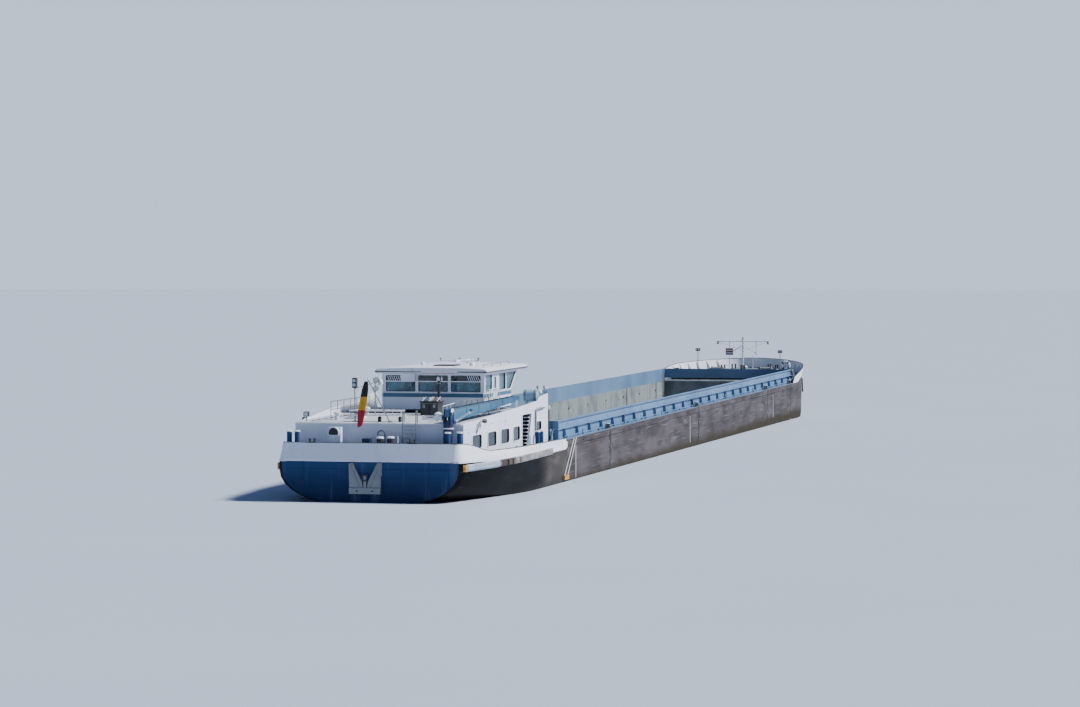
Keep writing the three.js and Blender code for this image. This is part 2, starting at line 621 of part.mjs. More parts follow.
const WH_DOOR = { aft: -4150, fore: -4078, sill: 556, head: 724 };
const WH_SIDE_OUTLINE = [
  [WHEELHOUSE_AFT_X, WH_WALL_Z], [WHEELHOUSE_FORE_X, WH_WALL_Z], [WHEELHOUSE_FORE_X, WH_SILL_Z],
  [WHEELHOUSE_BROW_X, WH_TOP_Z], [WHEELHOUSE_AFT_X, WH_TOP_Z],
];
const WH_LIGHT = { sill: 640, head: 728, half: 82, ys: [-178, 0, 178] };
const WH_AFT_WINDOW = corners(-4312, -4180, WH_LIGHT.sill, WH_LIGHT.head);
const WH_MID_WINDOW = corners(-4030, -3895, WH_LIGHT.sill, WH_LIGHT.head);
const WH_FORE_WINDOW = [
  [-3875, WH_LIGHT.sill], [-3786, WH_LIGHT.sill], [-3664, WH_LIGHT.head], [-3875, WH_LIGHT.head],
];
for (const [side, label] of [[1, 'port'], [-1, 'starboard']]) {
  const inner = side * (WHEELHOUSE_HALF - WHEELHOUSE_WALL);
  const outer = side * WHEELHOUSE_HALF;
  const [y0, y1] = [Math.min(inner, outer), Math.max(inner, outer)];
  const holes = [WH_AFT_WINDOW, WH_MID_WINDOW, WH_FORE_WINDOW];
  if (side < 0) holes.push(widened(WH_DOOR, DOOR_CLEAR));
  node(`wheelhouse_wall_${label}`, cut(alongY(WH_SIDE_OUTLINE, y0, y1),
    holes.map((outline) => alongY(outline, y0 - 5, y1 + 5))), white, wheelhouse);
}
const whInside = WHEELHOUSE_HALF - WHEELHOUSE_WALL - GAP;
node('wheelhouse_wall_aft', join([
  cut(box(WHEELHOUSE_AFT_X, WHEELHOUSE_AFT_X + WHEELHOUSE_WALL, -whInside, whInside, WH_WALL_Z, WH_TOP_Z),
    WH_LIGHT.ys.map((y) => box(WHEELHOUSE_AFT_X - 5, WHEELHOUSE_AFT_X + 15,
      y - WH_LIGHT.half, y + WH_LIGHT.half, WH_LIGHT.sill, WH_LIGHT.head))),
  box(WHEELHOUSE_AFT_X - 34, WHEELHOUSE_AFT_X + 3, 92, 168, 694, 736),
]), white, wheelhouse);

// The front wall stands straight to the sill, then leans forward with the windows
const LEAN = (WHEELHOUSE_BROW_X - WHEELHOUSE_FORE_X) / (WH_TOP_Z - WH_SILL_Z);
const leanX = (z) => WHEELHOUSE_FORE_X + LEAN * (z - WH_SILL_Z);
const frontOutline = [
  [WHEELHOUSE_FORE_X - WHEELHOUSE_WALL, WH_WALL_Z], [WHEELHOUSE_FORE_X, WH_WALL_Z],
  [WHEELHOUSE_FORE_X, WH_SILL_Z], [WHEELHOUSE_BROW_X, WH_TOP_Z],
  [WHEELHOUSE_BROW_X - 9, WH_TOP_Z], [WHEELHOUSE_FORE_X - WHEELHOUSE_WALL, WH_SILL_Z + 2],
];
const { sill: lightSill, head: lightHead } = WH_LIGHT;
const frontCutter = [
  [leanX(lightSill) - 25, lightSill], [leanX(lightSill) + 10, lightSill],
  [leanX(lightHead) + 10, lightHead], [leanX(lightHead) - 25, lightHead],
];
node('wheelhouse_wall_fore', cut(alongY(frontOutline, -whInside, whInside),
  WH_LIGHT.ys.map((y) => alongY(frontCutter, y - WH_LIGHT.half, y + WH_LIGHT.half))), white, wheelhouse);

const WH_ROOF_AFT_X = -4380;
const WH_ROOF_FORE_X = -3500;
const roofHalfSection = [[300, 738], [304, 748], [304, 756], [285, 763], [150, 768]];
const roofSection = [...roofHalfSection, ...roofHalfSection.map(([y, z]) => [-y, z]).reverse()];
const ROOF_MAST_X = -3580;
const ROOF_MAST_Z = 782;
node('wheelhouse_roof', join([
  alongX(roofSection, WH_ROOF_AFT_X, WH_ROOF_FORE_X),
  box(ROOF_MAST_X - 12, ROOF_MAST_X + 12, -16, -8, 765, 790),
  box(ROOF_MAST_X - 12, ROOF_MAST_X + 12, 8, 16, 765, 790),
]), white, wheelhouse);

// Wheelhouse door, hinged at its aft edge and swinging outboard
const HINGE_RADIUS = 1.2;
const hingeBarrels = (x, y, heights) => heights.map((z) => post(x, y, z - 10, z + 10, HINGE_RADIUS, 10));
node('wheelhouse_door', join([
  cut(box(WH_DOOR.aft, WH_DOOR.fore, -WHEELHOUSE_HALF, -WHEELHOUSE_HALF + 5, WH_DOOR.sill, WH_DOOR.head),
    [box(WH_DOOR.aft + 12, WH_DOOR.fore - 12, -WHEELHOUSE_HALF - 5, -WHEELHOUSE_HALF + 10, 640, 714)]),
  ...hingeBarrels(WH_DOOR.aft, -WHEELHOUSE_HALF, [575, 640, 705]),
]), white, wheelhouse);

// Radar scanner on its mast, which stands on the deckhouse roof aft of the wheelhouse
const RADAR = { x: -4490, y: -77, half: 96, motorLow: 706, motorTop: 732 };
node('radar_mast', join([
  post(RADAR.x, RADAR.y, ROOF_TOP_Z + GAP, RADAR.motorLow + 2, 8),
  box(RADAR.x - 12, RADAR.x + 14, RADAR.y - 14, RADAR.y + 14, ROOF_TOP_Z + GAP, ROOF_TOP_Z + 4),
  box(RADAR.x - 14, RADAR.x + 14, RADAR.y - 14, RADAR.y + 14, RADAR.motorLow, RADAR.motorTop),
]), darkGrey);
node('radar_scanner', join([
  post(RADAR.x, RADAR.y, RADAR.motorTop + GAP, RADAR.motorTop + 9, 6),
  box(RADAR.x - 7, RADAR.x + 7, RADAR.y - RADAR.half, RADAR.y + RADAR.half,
    RADAR.motorTop + 8, RADAR.motorTop + 19),
]), white);

// Folding lamp mast at the wheelhouse roof's fore edge
node('roof_mast', join([
  bar([ROOF_MAST_X, 0, ROOF_MAST_Z], [ROOF_MAST_X - 300, 0, ROOF_MAST_Z + 6], 6),
  bar([ROOF_MAST_X, -7.7, ROOF_MAST_Z], [ROOF_MAST_X, 7.7, ROOF_MAST_Z], 4, 10),
  bar([ROOF_MAST_X - 220, -110, ROOF_MAST_Z + 4], [ROOF_MAST_X - 220, 110, ROOF_MAST_Z + 4], 4),
  box(ROOF_MAST_X - 305, ROOF_MAST_X - 290, -7, 7, ROOF_MAST_Z - 2, ROOF_MAST_Z + 14),
]), white, wheelhouse);

// House door on the port side, hinged at its fore edge
node('house_door', join([
  box(HOUSE_DOOR.aft, HOUSE_DOOR.fore, HOUSE_HALF - 6, HOUSE_HALF, HOUSE_DOOR.sill, HOUSE_DOOR.head),
  ...hingeBarrels(HOUSE_DOOR.fore, HOUSE_HALF, [400, 490]),
]), white);

// Crane: column with two cheeks, boom, lifting cylinder. A pin carries each end of the cylinder.
const ramPin = ({ x, z }) => bar([x, CRANE_Y - 10, z], [x, CYLINDER_Y + 6.5, z], 5, 12);
node('crane_column', join([
  post(CRANE_X, CRANE_Y, 372.3, 545, CRANE_RADIUS, 16),
  box(CRANE_X - 24, CRANE_X + 22, CRANE_Y - 19, CRANE_Y - 13.5, 530, 604),
  box(CRANE_X - 24, CRANE_X + 22, CRANE_Y + 13.5, CRANE_Y + 19, 530, 604),
  ramPin(CYLINDER_FOOT),
]), craneNavy);
const BOOM_TIP_X = -4030;
const BOOM_OUTLINE = [[-5335, 539], [BOOM_TIP_X, 586], [BOOM_TIP_X, 608], [-5335, 600]];
const BOOM_HEEL_OUTLINE = [
  [PIVOT_X - 18, 566], [-5350, 560], [-5325, 546], [-5325, 599], [PIVOT_X - 18, 600],
];
node('crane_boom', join([
  alongY(BOOM_OUTLINE, CRANE_Y - 16, CRANE_Y + 16),
  alongY(BOOM_HEEL_OUTLINE, CRANE_Y - 12, CRANE_Y + 12),
  ramPin(CYLINDER_HEAD),
  bar([PIVOT_X, CRANE_Y - 13.2, PIVOT_Z], [PIVOT_X, CRANE_Y + 13.2, PIVOT_Z], 6, 12),
]), boomBlue);
const ramAxis = new THREE.Vector2(CYLINDER_HEAD.x - CYLINDER_FOOT.x, CYLINDER_HEAD.z - CYLINDER_FOOT.z);
const ramPoint = (share) =>
  [CYLINDER_FOOT.x + ramAxis.x * share, CYLINDER_Y, CYLINDER_FOOT.z + ramAxis.y * share];
node('crane_cylinder', cut(bar(ramPoint(-0.015), ramPoint(0.74), 6.2, 12),
  [bar(ramPoint(0.05), ramPoint(0.8), 4, 12)]), coamingBlue);
node('crane_rod', bar(ramPoint(0.25), ramPoint(1.015), 3.2, 10), steel);

// Propeller in its nozzle
// Each row of a blade: radius, half chord, pitch angle, half thickness.
const BLADE_ROWS = [
  [HUB_RADIUS - 3, 14, 1.0, 3], [40, 25, 0.75, 2.2], [60, 26, 0.55, 1.6], [PROP_RADIUS, 12, 0.45, 1.2],
];
const bladeTurns = [0, 1, 2, 3].map((i) => (i * Math.PI) / 2);
function blade(turn) {
  const section = [[-1, -1], [1, -1], [1, 1], [-1, 1]];
  return loft(BLADE_ROWS.map(([r, half, pitch, thick]) => section.map(([along, off]) => {
    const x = PROP_X + half * along * Math.sin(pitch) + thick * off * Math.cos(pitch);
    const across = half * along * Math.cos(pitch) - thick * off * Math.sin(pitch);
    const y = r * Math.cos(turn) - across * Math.sin(turn);
    return [x, y, SHAFT_Z + r * Math.sin(turn) + across * Math.cos(turn)];
  })));
}
node('propeller', join([
  bar([PROP_X - 26, 0, SHAFT_Z], [PROP_X + 22, 0, SHAFT_Z], HUB_RADIUS - 4, 16, HUB_RADIUS),
  bar([PROP_X + 20, 0, SHAFT_Z], [STERN_TUBE_FACE_X - GAP, 0, SHAFT_Z], 8, 12),
  ...bladeTurns.map(blade),
]), bronze);
node('nozzle', cut(join([
  bar([NOZZLE_AFT_X, 0, SHAFT_Z], [NOZZLE_FORE_X, 0, SHAFT_Z], NOZZLE_OUTER - 2, 28, NOZZLE_OUTER),
  box(-4970, -4910, -9, 9, SHAFT_Z + NOZZLE_OUTER - 7, TUNNEL_TOP_Z - GAP),
]), [bar([NOZZLE_AFT_X - 5, 0, SHAFT_Z], [NOZZLE_FORE_X + 5, 0, SHAFT_Z], NOZZLE_INNER, 28)]), darkGrey);

for (const [y, label] of [[RUDDER_Y, 'port'], [-RUDDER_Y, 'starboard']]) {
  const foil = [[-100, 2], [-60, 6], [0, 9], [30, 8], [45, 3]];
  const outline = [...foil, ...mirror(foil).reverse()].map(([dx, dy]) => [RUDDER_X + dx, y + dy]);
  node(`rudder_${label}`, join([
    alongZ(outline, 14, 140),
    post(RUDDER_X, y, 130, RUDDER_PAD_Z - GAP, 6),
  ]), darkGrey);
}

// Anchors: shank, crown and two flukes, housed flat against the plating
function anchor(size) {
  const thick = size * 0.07;
  const fluke = [[0.06, 0.18], [0.5, 0.12], [0.52, 0.95], [0.4, 0.98], [0.1, 0.4]];
  const shape = (points, depth) => alongX(points.map(([y, z]) => [y * size, z * size]), 0, depth);
  return join([
    shape(fluke, thick),
    shape(fluke.map(([y, z]) => [-y, z]), thick),
    shape([[-0.5, 0.02], [0.5, 0.02], [0.5, 0.2], [-0.5, 0.2]], thick * 1.6),
    shape([[-0.045, 0.1], [0.045, 0.1], [0.045, 0.62], [-0.045, 0.62]], thick * 1.2),
  ]);
}
node('anchor_stern', anchor(160).rotateZ(Math.PI).translate(TRANSOM_X - GAP, 20, 184), steel);
const BOW_ANCHOR = { x: 4720, z: 262, turn: Math.atan2(547 - 515, 200) };
// The hull's facets split differently on the two sides, so each anchor has its own offset.
for (const [side, label, y] of [[1, 'port', 526.5], [-1, 'starboard', 527.4]]) {
  node(`anchor_bow_${label}`, anchor(110).rotateZ(side * (Math.PI / 2 - BOW_ANCHOR.turn))
    .translate(BOW_ANCHOR.x, side * y, BOW_ANCHOR.z), darkGrey);
}

// Ladder from the aft deck to the roof, with arched handrails
const LADDER_Y = -166;
const LADDER_HALF = 34;
const LADDER_TOP_Z = 590;
const LADDER_FOOT_X = -5362;
const LADDER_TOP_X = -5348;
const LADDER_BACK_X = -5324;
const LADDER_SLOPE = (LADDER_TOP_X - LADDER_FOOT_X) / (LADDER_TOP_Z - AFT_DECK_Z);
node('ladder', join([
  ...[LADDER_Y - LADDER_HALF, LADDER_Y + LADDER_HALF].flatMap((y) => [
    bar([LADDER_FOOT_X, y, AFT_DECK_Z + 0.5], [LADDER_TOP_X, y, LADDER_TOP_Z], 3, 6),
    bar([LADDER_TOP_X, y, LADDER_TOP_Z - 2], [LADDER_BACK_X + 2, y, LADDER_TOP_Z - 2], 3, 6),
    bar([LADDER_BACK_X, y, LADDER_TOP_Z], [LADDER_BACK_X, y, ROOF_TOP_Z], 3, 6),
  ]),
  ...Array.from({ length: 8 }, (unused, i) => {
    const z = AFT_DECK_Z + 18 + i * 21;
    const x = LADDER_FOOT_X + LADDER_SLOPE * (z - AFT_DECK_Z);
    return box(x - 6, x + 6, LADDER_Y - LADDER_HALF, LADDER_Y + LADDER_HALF, z - 2, z + 2);
  }),
]), steel);

// Cowl vent, stern winch and bow winches
node('cowl_vent', join([
  box(-5394, -5364, 175, 235, AFT_DECK_Z, 508),
  bar([-5392, 205, 480], [-5414, 205, 482], 27, 20),
]), white);
const winch = (x, y, deckZ, half) => join([
  box(x - 22, x + 22, y - half, y + half, deckZ, deckZ + 8),
  box(x - 20, x + 20, y - half, y - half + 7, deckZ + 6, deckZ + 52),
  box(x - 20, x + 20, y + half - 7, y + half, deckZ + 6, deckZ + 52),
  bar([x, y - half - 14, deckZ + 32], [x, y + half + 14, deckZ + 32], 8, 12),
  bar([x, y - half + 3, deckZ + 32], [x, y + half - 3, deckZ + 32], 16, 14),
]);
node('winch_stern', winch(-5400, 40, AFT_DECK_Z, 52), steel);
for (const [side, label] of [[1, 'port'], [-1, 'starboard']]) {
  node(`winch_bow_${label}`, winch(4900, side * 200, BOW_WINCH_DECK_Z, 48), steel);
}

// Roof fittings
const RAIL_TOP_Z = 620;
function railing(x0, x1, y, count, top) {
  const posts = Array.from({ length: count }, (unused, i) => {
    const x = Math.round(x0 + (i * (x1 - x0)) / (count - 1));
    return bar([x, y, ROOF_TOP_Z], [x, y, top], 2, 6);
  });
  const rails = [0.55, 1].map((share) => {
    const z = ROOF_TOP_Z + (top - ROOF_TOP_Z) * share;
    return bar([x0 - 2, y, z], [x1 + 2, y, z], 2, 6);
  });
  return join([...posts, ...rails]);
}
node('roof_rail_starboard', railing(-5080, -4420, -325, 7, RAIL_TOP_Z), steel);
node('roof_rail_port', railing(-5080, -4420, 325, 7, RAIL_TOP_Z), steel);
node('roof_locker', join([
  box(-4610, -4510, -104, -10, ROOF_TOP_Z, 598),
  box(-4614, -4506, -108, -6, 597, 603),
]), darkGrey);
const RAFT = { x: -3889, y: -420, half: 36, z: 606, radius: 31 };
node('liferaft', join([
  bar([RAFT.x, RAFT.y - RAFT.half, RAFT.z], [RAFT.x, RAFT.y + RAFT.half, RAFT.z], RAFT.radius, 20),
  box(RAFT.x - 22, RAFT.x + 22, RAFT.y - 26, RAFT.y - 18, ROOF_TOP_Z, RAFT.z - 18),
  box(RAFT.x - 22, RAFT.x + 22, RAFT.y + 18, RAFT.y + 26, ROOF_TOP_Z, RAFT.z - 18),
]), coamingBlue);

// Flagstaff on the roof's aft edge, and the limp flag
const STAFF_FOOT = [-5310, -55, ROOF_TOP_Z];
const STAFF_TIP = [-5400, 30, 745];
node('flagstaff', join([
  bar([STAFF_FOOT[0], STAFF_FOOT[1], ROOF_TOP_Z + 2], STAFF_TIP, 3, 8),
  box(STAFF_FOOT[0] - 9, STAFF_FOOT[0] + 9, STAFF_FOOT[1] - 9, STAFF_FOOT[1] + 9, ROOF_TOP_Z, ROOF_TOP_Z + 6),
]), steel);

// Each row: height, middle x, middle y, half widths along x and y.
const FLAG_ROWS = [
  [738, -5404, 37.75, 6, 7], [700, -5408, 42, 10, 12], [640, -5412, 50, 12, 14],
  [580, -5416, 60, 11, 15], [530, -5419, 66, 9, 11], [512, -5420, 68, 5, 6],
];
node('flag', loft(FLAG_ROWS.map(([z, x, y, halfX, halfY]) => [
  [x - halfX, y - halfY, z], [x + halfX, y - halfY, z], [x + halfX, y + halfY, z], [x - halfX, y + halfY, z],
])), cloth);

// Hung timber fenders, one a side, each on two ropes that run forward and up to the gunwale
const FENDER = { aft: -3790, fore: -3690, low: 146, high: 169, half: 6 };
const FENDER_ROPES = [{ foot: -3780, head: -3528 }, { foot: -3705, head: -3473 }];
for (const [side, label] of [[1, 'port'], [-1, 'starboard']]) {
  const y = side * (HALF_BEAM + FENDER.half + 0.5);
  node(`fender_${label}`, join([
    box(FENDER.aft, FENDER.fore, y - FENDER.half, y + FENDER.half, FENDER.low, FENDER.high),
    ...FENDER_ROPES.map(({ foot, head }) =>
      bar([foot, y, FENDER.high - 8], [head, side * (HALF_BEAM + 2.2), GUNWALE_Z], 2, 6)),
  ]), timber);
}

// Engine-room hatch, forepeak hatch
const hatchLid = ({ x, y, half, rise }, deckZ) => box(
  x - half - 2, x + half + 2, y - half - 2, y + half + 2, deckZ + rise + GAP, deckZ + rise + 5);
node('hatch_engine', hatchLid(HATCH_AFT, AFT_DECK_Z), deckGrey);
node('hatch_forepeak', hatchLid(HATCH_FORE, FORE_HATCH_DECK_Z), deckGrey);

// Bow mast on its trestle, folding aft
const BOW_MAST_PIVOT_Z = 450;
node('bow_mast', join([
  bar([BOW_MAST_X, 0, 430], [BOW_MAST_X, 0, 690], 6.5, 10),
  bar([BOW_MAST_X, -8.7, BOW_MAST_PIVOT_Z], [BOW_MAST_X, 8.7, BOW_MAST_PIVOT_Z], 5, 10),
  bar([BOW_MAST_X, -215, 660], [BOW_MAST_X, 215, 660], 4, 8),
  bar([BOW_MAST_X, 110, 560], [BOW_MAST_X, 10, 625], 3.5, 8),
  bar([BOW_MAST_X, -110, 560], [BOW_MAST_X, -10, 625], 3.5, 8),
  bar([BOW_MAST_X, 110, 556], [BOW_MAST_X, 110, 660], 3.5, 8),
  bar([BOW_MAST_X, -110, 556], [BOW_MAST_X, -110, 660], 3.5, 8),
]), white);

// Breakwater across the fore end of the hold
node('breakwater', join([
  box(4330, 4336, -470, 470, 375, 448),
  ...[-440, -220, 0, 220, 440].map((y) =>
    alongY([[4333, 378], [4366, 380.5], [4341, 445], [4333, 445]], y - 2, y + 2)),
]), darkGrey);

export default barge;
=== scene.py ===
"""River barge: finishes and small fittings on the CAD frame. Metres, +X bow, +Y port, +Z up, 1:10."""
import math

import bmesh
import bpy
from mathutils import Matrix, Vector
from mathutils.bvhtree import BVHTree


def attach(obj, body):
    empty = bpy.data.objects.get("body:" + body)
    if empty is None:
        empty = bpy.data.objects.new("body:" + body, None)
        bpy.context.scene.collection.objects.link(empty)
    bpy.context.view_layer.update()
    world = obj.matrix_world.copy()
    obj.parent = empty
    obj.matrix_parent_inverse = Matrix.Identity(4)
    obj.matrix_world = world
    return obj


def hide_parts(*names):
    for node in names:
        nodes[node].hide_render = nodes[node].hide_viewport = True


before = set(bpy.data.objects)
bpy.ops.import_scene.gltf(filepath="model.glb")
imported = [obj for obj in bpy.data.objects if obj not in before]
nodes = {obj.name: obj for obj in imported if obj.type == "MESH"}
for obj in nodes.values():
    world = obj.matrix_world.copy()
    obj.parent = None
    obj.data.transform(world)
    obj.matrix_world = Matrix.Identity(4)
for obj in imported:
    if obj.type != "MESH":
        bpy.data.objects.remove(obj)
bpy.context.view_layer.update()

# Directions, levels and stations used by several groups, in metres
UP, PORT, AHEAD = (0, 0, 1), (0, 1, 0), (1, 0, 0)
SIDES = ((1, "port"), (-1, "starboard"))
DECK_Z = 0.35
DECK_SKIN = 0.3502
ROOF_FOOT = 0.5304
ROOF_SKIN = 0.5303
HOLD_AFT_X, HOLD_FORE_X, HOLD_HALF = -3.68, 4.245, 0.505
HOLD_FRAMES = 26
HOLD_LENGTH = HOLD_FORE_X - HOLD_AFT_X
SIDE_DECK_FORE_X = 4.03
HALF_BEAM = 0.5725
BERTH_XS = (-2.6, 0.095, 2.82, 3.9)
WH_AFT_X, WH_HALF = -4.33, 0.28
WATER_AT_HOLD, WATER_SLOPE = 0.132, 0.00678


def water_z(x):
    """Height of the water's surface along the barge, which trims by the stern."""
    return WATER_AT_HOLD - WATER_SLOPE * (x - HOLD_AFT_X)


# Materials

def linear(hex_colour):
    """A hex colour as linear RGBA."""
    parts = [int(hex_colour[i:i + 2], 16) / 255 for i in (0, 2, 4)]
    return [c / 12.92 if c <= 0.04045 else ((c + 0.055) / 1.055) ** 2.4 for c in parts] + [1.0]


class Finish:
    """A material with short helpers for its nodes."""

    def __init__(self, name, roughness=0.5, metallic=0.0):
        self.material = bpy.data.materials.new(name)
        self.material.use_nodes = True
        self.tree = self.material.node_tree
        self.shader = self.tree.nodes["Principled BSDF"]
        self.shader.inputs["Roughness"].default_value = roughness
        self.shader.inputs["Metallic"].default_value = metallic
        self.position = self.tree.nodes.new("ShaderNodeTexCoord").outputs["Object"]

    def feed(self, socket, value):
        if isinstance(value, bpy.types.NodeSocket):
            self.tree.links.new(value, socket)
        elif isinstance(value, str):
            socket.default_value = linear(value)
        elif value is not None:
            socket.default_value = value

    def node(self, kind, output, **inputs):
        """A new node with its inputs fed by name, and one of its outputs."""
        node = self.tree.nodes.new(kind)
        for name, value in inputs.items():
            self.feed(node.inputs[name.replace("_", " ")], value)
        return node, node.outputs[output]

    def noise(self, scale, stretch=(1, 1, 1), detail=4.0, shift=0.0):
        place = self.node("ShaderNodeMapping", 0, Vector=self.position, Scale=stretch,
                          Location=(shift,) * 3)[1]
        return self.node("ShaderNodeTexNoise", "Fac", Vector=place, Scale=scale, Detail=detail)[1]

    def math(self, operation, a, b=None):
        node = self.tree.nodes.new("ShaderNodeMath")
        node.operation = operation
        self.feed(node.inputs[0], a)
        self.feed(node.inputs[1], b)
        return node.outputs[0]

    def times(self, a, b):
        return self.math("MULTIPLY", a, b)

    def plus(self, a, b):
        return self.math("ADD", a, b)

    def step(self, value, low, high):
        """0 at low and 1 at high, with a smooth change between them."""
        node, result = self.node("ShaderNodeMapRange", "Result", Value=value, From_Min=min(low, high),
                                 From_Max=max(low, high), To_Min=float(low >= high),
                                 To_Max=float(low < high))
        node.interpolation_type = "SMOOTHSTEP"
        return result

    def spots(self, scale, low, high, stretch=(1, 1, 1), detail=4.0, shift=0.0):
        """Noise cut to soft-edged patches."""
        return self.step(self.noise(scale, stretch, detail, shift), low, high)

    def mix(self, factor, a, b):
        node = self.tree.nodes.new("ShaderNodeMix")
        node.data_type = "RGBA"
        for socket, value in ((0, factor), (6, a), (7, b)):
            self.feed(node.inputs[socket], value)
        return node.outputs[2]

    def ramp(self, value, low, high, a, b):
        """Colour a up to low and colour b from high on."""
        return self.mix(self.step(value, low, high), a, b)

    def stain(self, colour, where, share, over):
        """A colour with another laid over part of it."""
        return self.mix(self.times(where, share), colour, over)

    def axes(self):
        return self.node("ShaderNodeSeparateXYZ", 0, Vector=self.position)[0].outputs

    def flat(self, low, high):
        """The share of a surface that faces up."""
        normal = self.node("ShaderNodeNewGeometry", "Normal")[1]
        return self.step(self.node("ShaderNodeSeparateXYZ", 2, Vector=normal)[1], low, high)

    def band(self, value, low, high, soft):
        """1 between low and high."""
        return self.times(self.step(value, low - soft, low), self.step(value, high + soft, high))

    def colour(self, value):
        self.feed(self.shader.inputs["Base Color"], value)
        return self

    def rough(self, factor, low, high):
        result = self.node("ShaderNodeMapRange", "Result", Value=factor, To_Min=low, To_Max=high)[1]
        self.feed(self.shader.inputs["Roughness"], result)
        return self

    def shine(self, level):
        self.shader.inputs["Specular IOR Level"].default_value = level
        return self

    def bump(self, height, strength, distance=0.001):
        normal = self.node("ShaderNodeBump", "Normal", Strength=strength, Distance=distance,
                           Height=height)[1]
        self.feed(self.shader.inputs["Normal"], normal)
        return self


def painted(name, base, shade, roughness=0.42, grime=0.35, rust=0.0, scale=1.0):
    """Brushed ship's paint: soft tone changes, run-down grime, and rust freckles if asked for."""
    f = Finish(name, roughness)
    tone = f.noise(2.2 * scale, detail=6)
    colour = f.ramp(tone, 0.35, 0.7, base, shade)
    runs = f.spots(26 * scale, 0.52, 0.8, (1, 1, 0.09), 5, 3.1)
    patches = f.spots(5 * scale, 0.45, 0.75, detail=6, shift=1.7)
    colour = f.stain(colour, f.times(runs, patches), grime, "5d5a54")
    if rust:
        colour = f.stain(colour, f.spots(70 * scale, 0.66, 0.74, (1, 1, 0.5), 8, 5.3), rust, "6b3a22")
    f.colour(colour).rough(tone, roughness - 0.08, roughness + 0.12)
    return f.bump(f.noise(140 * scale, detail=3), 0.12)


def metal(name, base, shade, roughness=0.4, metallic=0.8):
    """Galvanised or bare metal with mottled spangle and dull patches."""
    f = Finish(name, roughness, metallic)
    spangle = f.noise(90, detail=2)
    colour = f.ramp(spangle, 0.35, 0.65, base, shade)
    colour = f.stain(colour, f.spots(14, 0.58, 0.8, (1, 1, 0.4), 6, 2.2), 0.4, "5b4a3c")
    return f.colour(colour).rough(spangle, roughness - 0.08, roughness + 0.15).bump(spangle, 0.1)


def plate_seams(f, pitch, offset=0.0, width=0.0012):
    """A thin line at each upright plate joint along the hull."""
    phase = f.math("PINGPONG", f.plus(f.axes()[0], offset), pitch / 2)
    return f.step(phase, width, width * 0.3)


def make_aft_hull():
    """Navy transom lighter at the top as painted light, white band, black lower sides that are partly painted
    shade, grey deck, and navy bollards with white caps.
    """
    f = Finish("aft_hull_paint", 0.4)
    x, _, z = f.axes()
    tone = f.noise(3.0, detail=6)
    streaks = f.spots(30, 0.5, 0.75, (1, 1, 0.08), 5, 2.0)
    navy = f.ramp(tone, 0.3, 0.7, "1f3050", "26395e")
    # Painted light: the navy is made lighter towards the top, where more sky light falls on the shaded
    # transom
    navy = f.stain(navy, f.step(z, 0.2, 0.36), 0.6, "35527e")
    navy = f.stain(navy, streaks, 0.25, "6b87a3")
    # The lower sides are near-black: partly dark paint, partly painted shade for the shade under the
    # quarters, which curve inward and face down
    black = f.mix(f.spots(7, 0.4, 0.7, (0.4, 1, 1.6), 7, 4.0), "060709", "101014")
    black = f.stain(black, f.spots(40, 0.6, 0.72, (0.15, 1, 3), 6, 1.0), 0.2, "4c4a46")
    worn = f.mix(f.spots(9, 0.4, 0.68, (0.5, 1, 1.4), 7, 2.6), "3d3a39", "57534f")
    # Painted shade fading out: forward, where the side turns upright into the light, the black gives way to
    # the hull side's grey
    black = f.ramp(x, -4.38, -3.95, black, worn)
    side = f.step(x, -5.479, -5.4775)
    # The white band's lower edge: level on the transom, then falling forward, and a raked end at the hold
    edge = f.plus(f.times(f.step(x, -5.48, -4.5), -0.034), 0.342)
    edge = f.plus(edge, f.times(f.step(x, -3.735, -3.5), 0.075))
    white = f.ramp(tone, 0.35, 0.7, "e8ecf8", "d9dfed")
    white = f.stain(white, streaks, 0.3, "8f8c86")
    hull = f.ramp(f.math("SUBTRACT", z, edge), -0.0006, 0.0006, f.mix(side, navy, black), white)
    hull = f.stain(hull, f.step(z, 0.19, 0.1), side, "2c2a26")
    deck = f.mix(f.spots(22, 0.4, 0.65, detail=8), "5a6770", "727f87")
    hull = f.stain(hull, f.flat(0.6, 0.8), f.step(z, 0.345, 0.348), deck)
    bow_caps = f.times(f.step(z, 0.4245, 0.425), f.step(x, -4.35, -4.3))
    gear = f.mix(f.math("MAXIMUM", f.step(z, 0.4845, 0.4855), bow_caps), navy, "f0f1f3")
    f.colour(f.ramp(z, 0.3555, 0.3565, hull, gear)).rough(tone, 0.45, 0.7).shine(0.06)
    return f.bump(f.noise(60, (0.6, 1, 1), 4), 0.15)


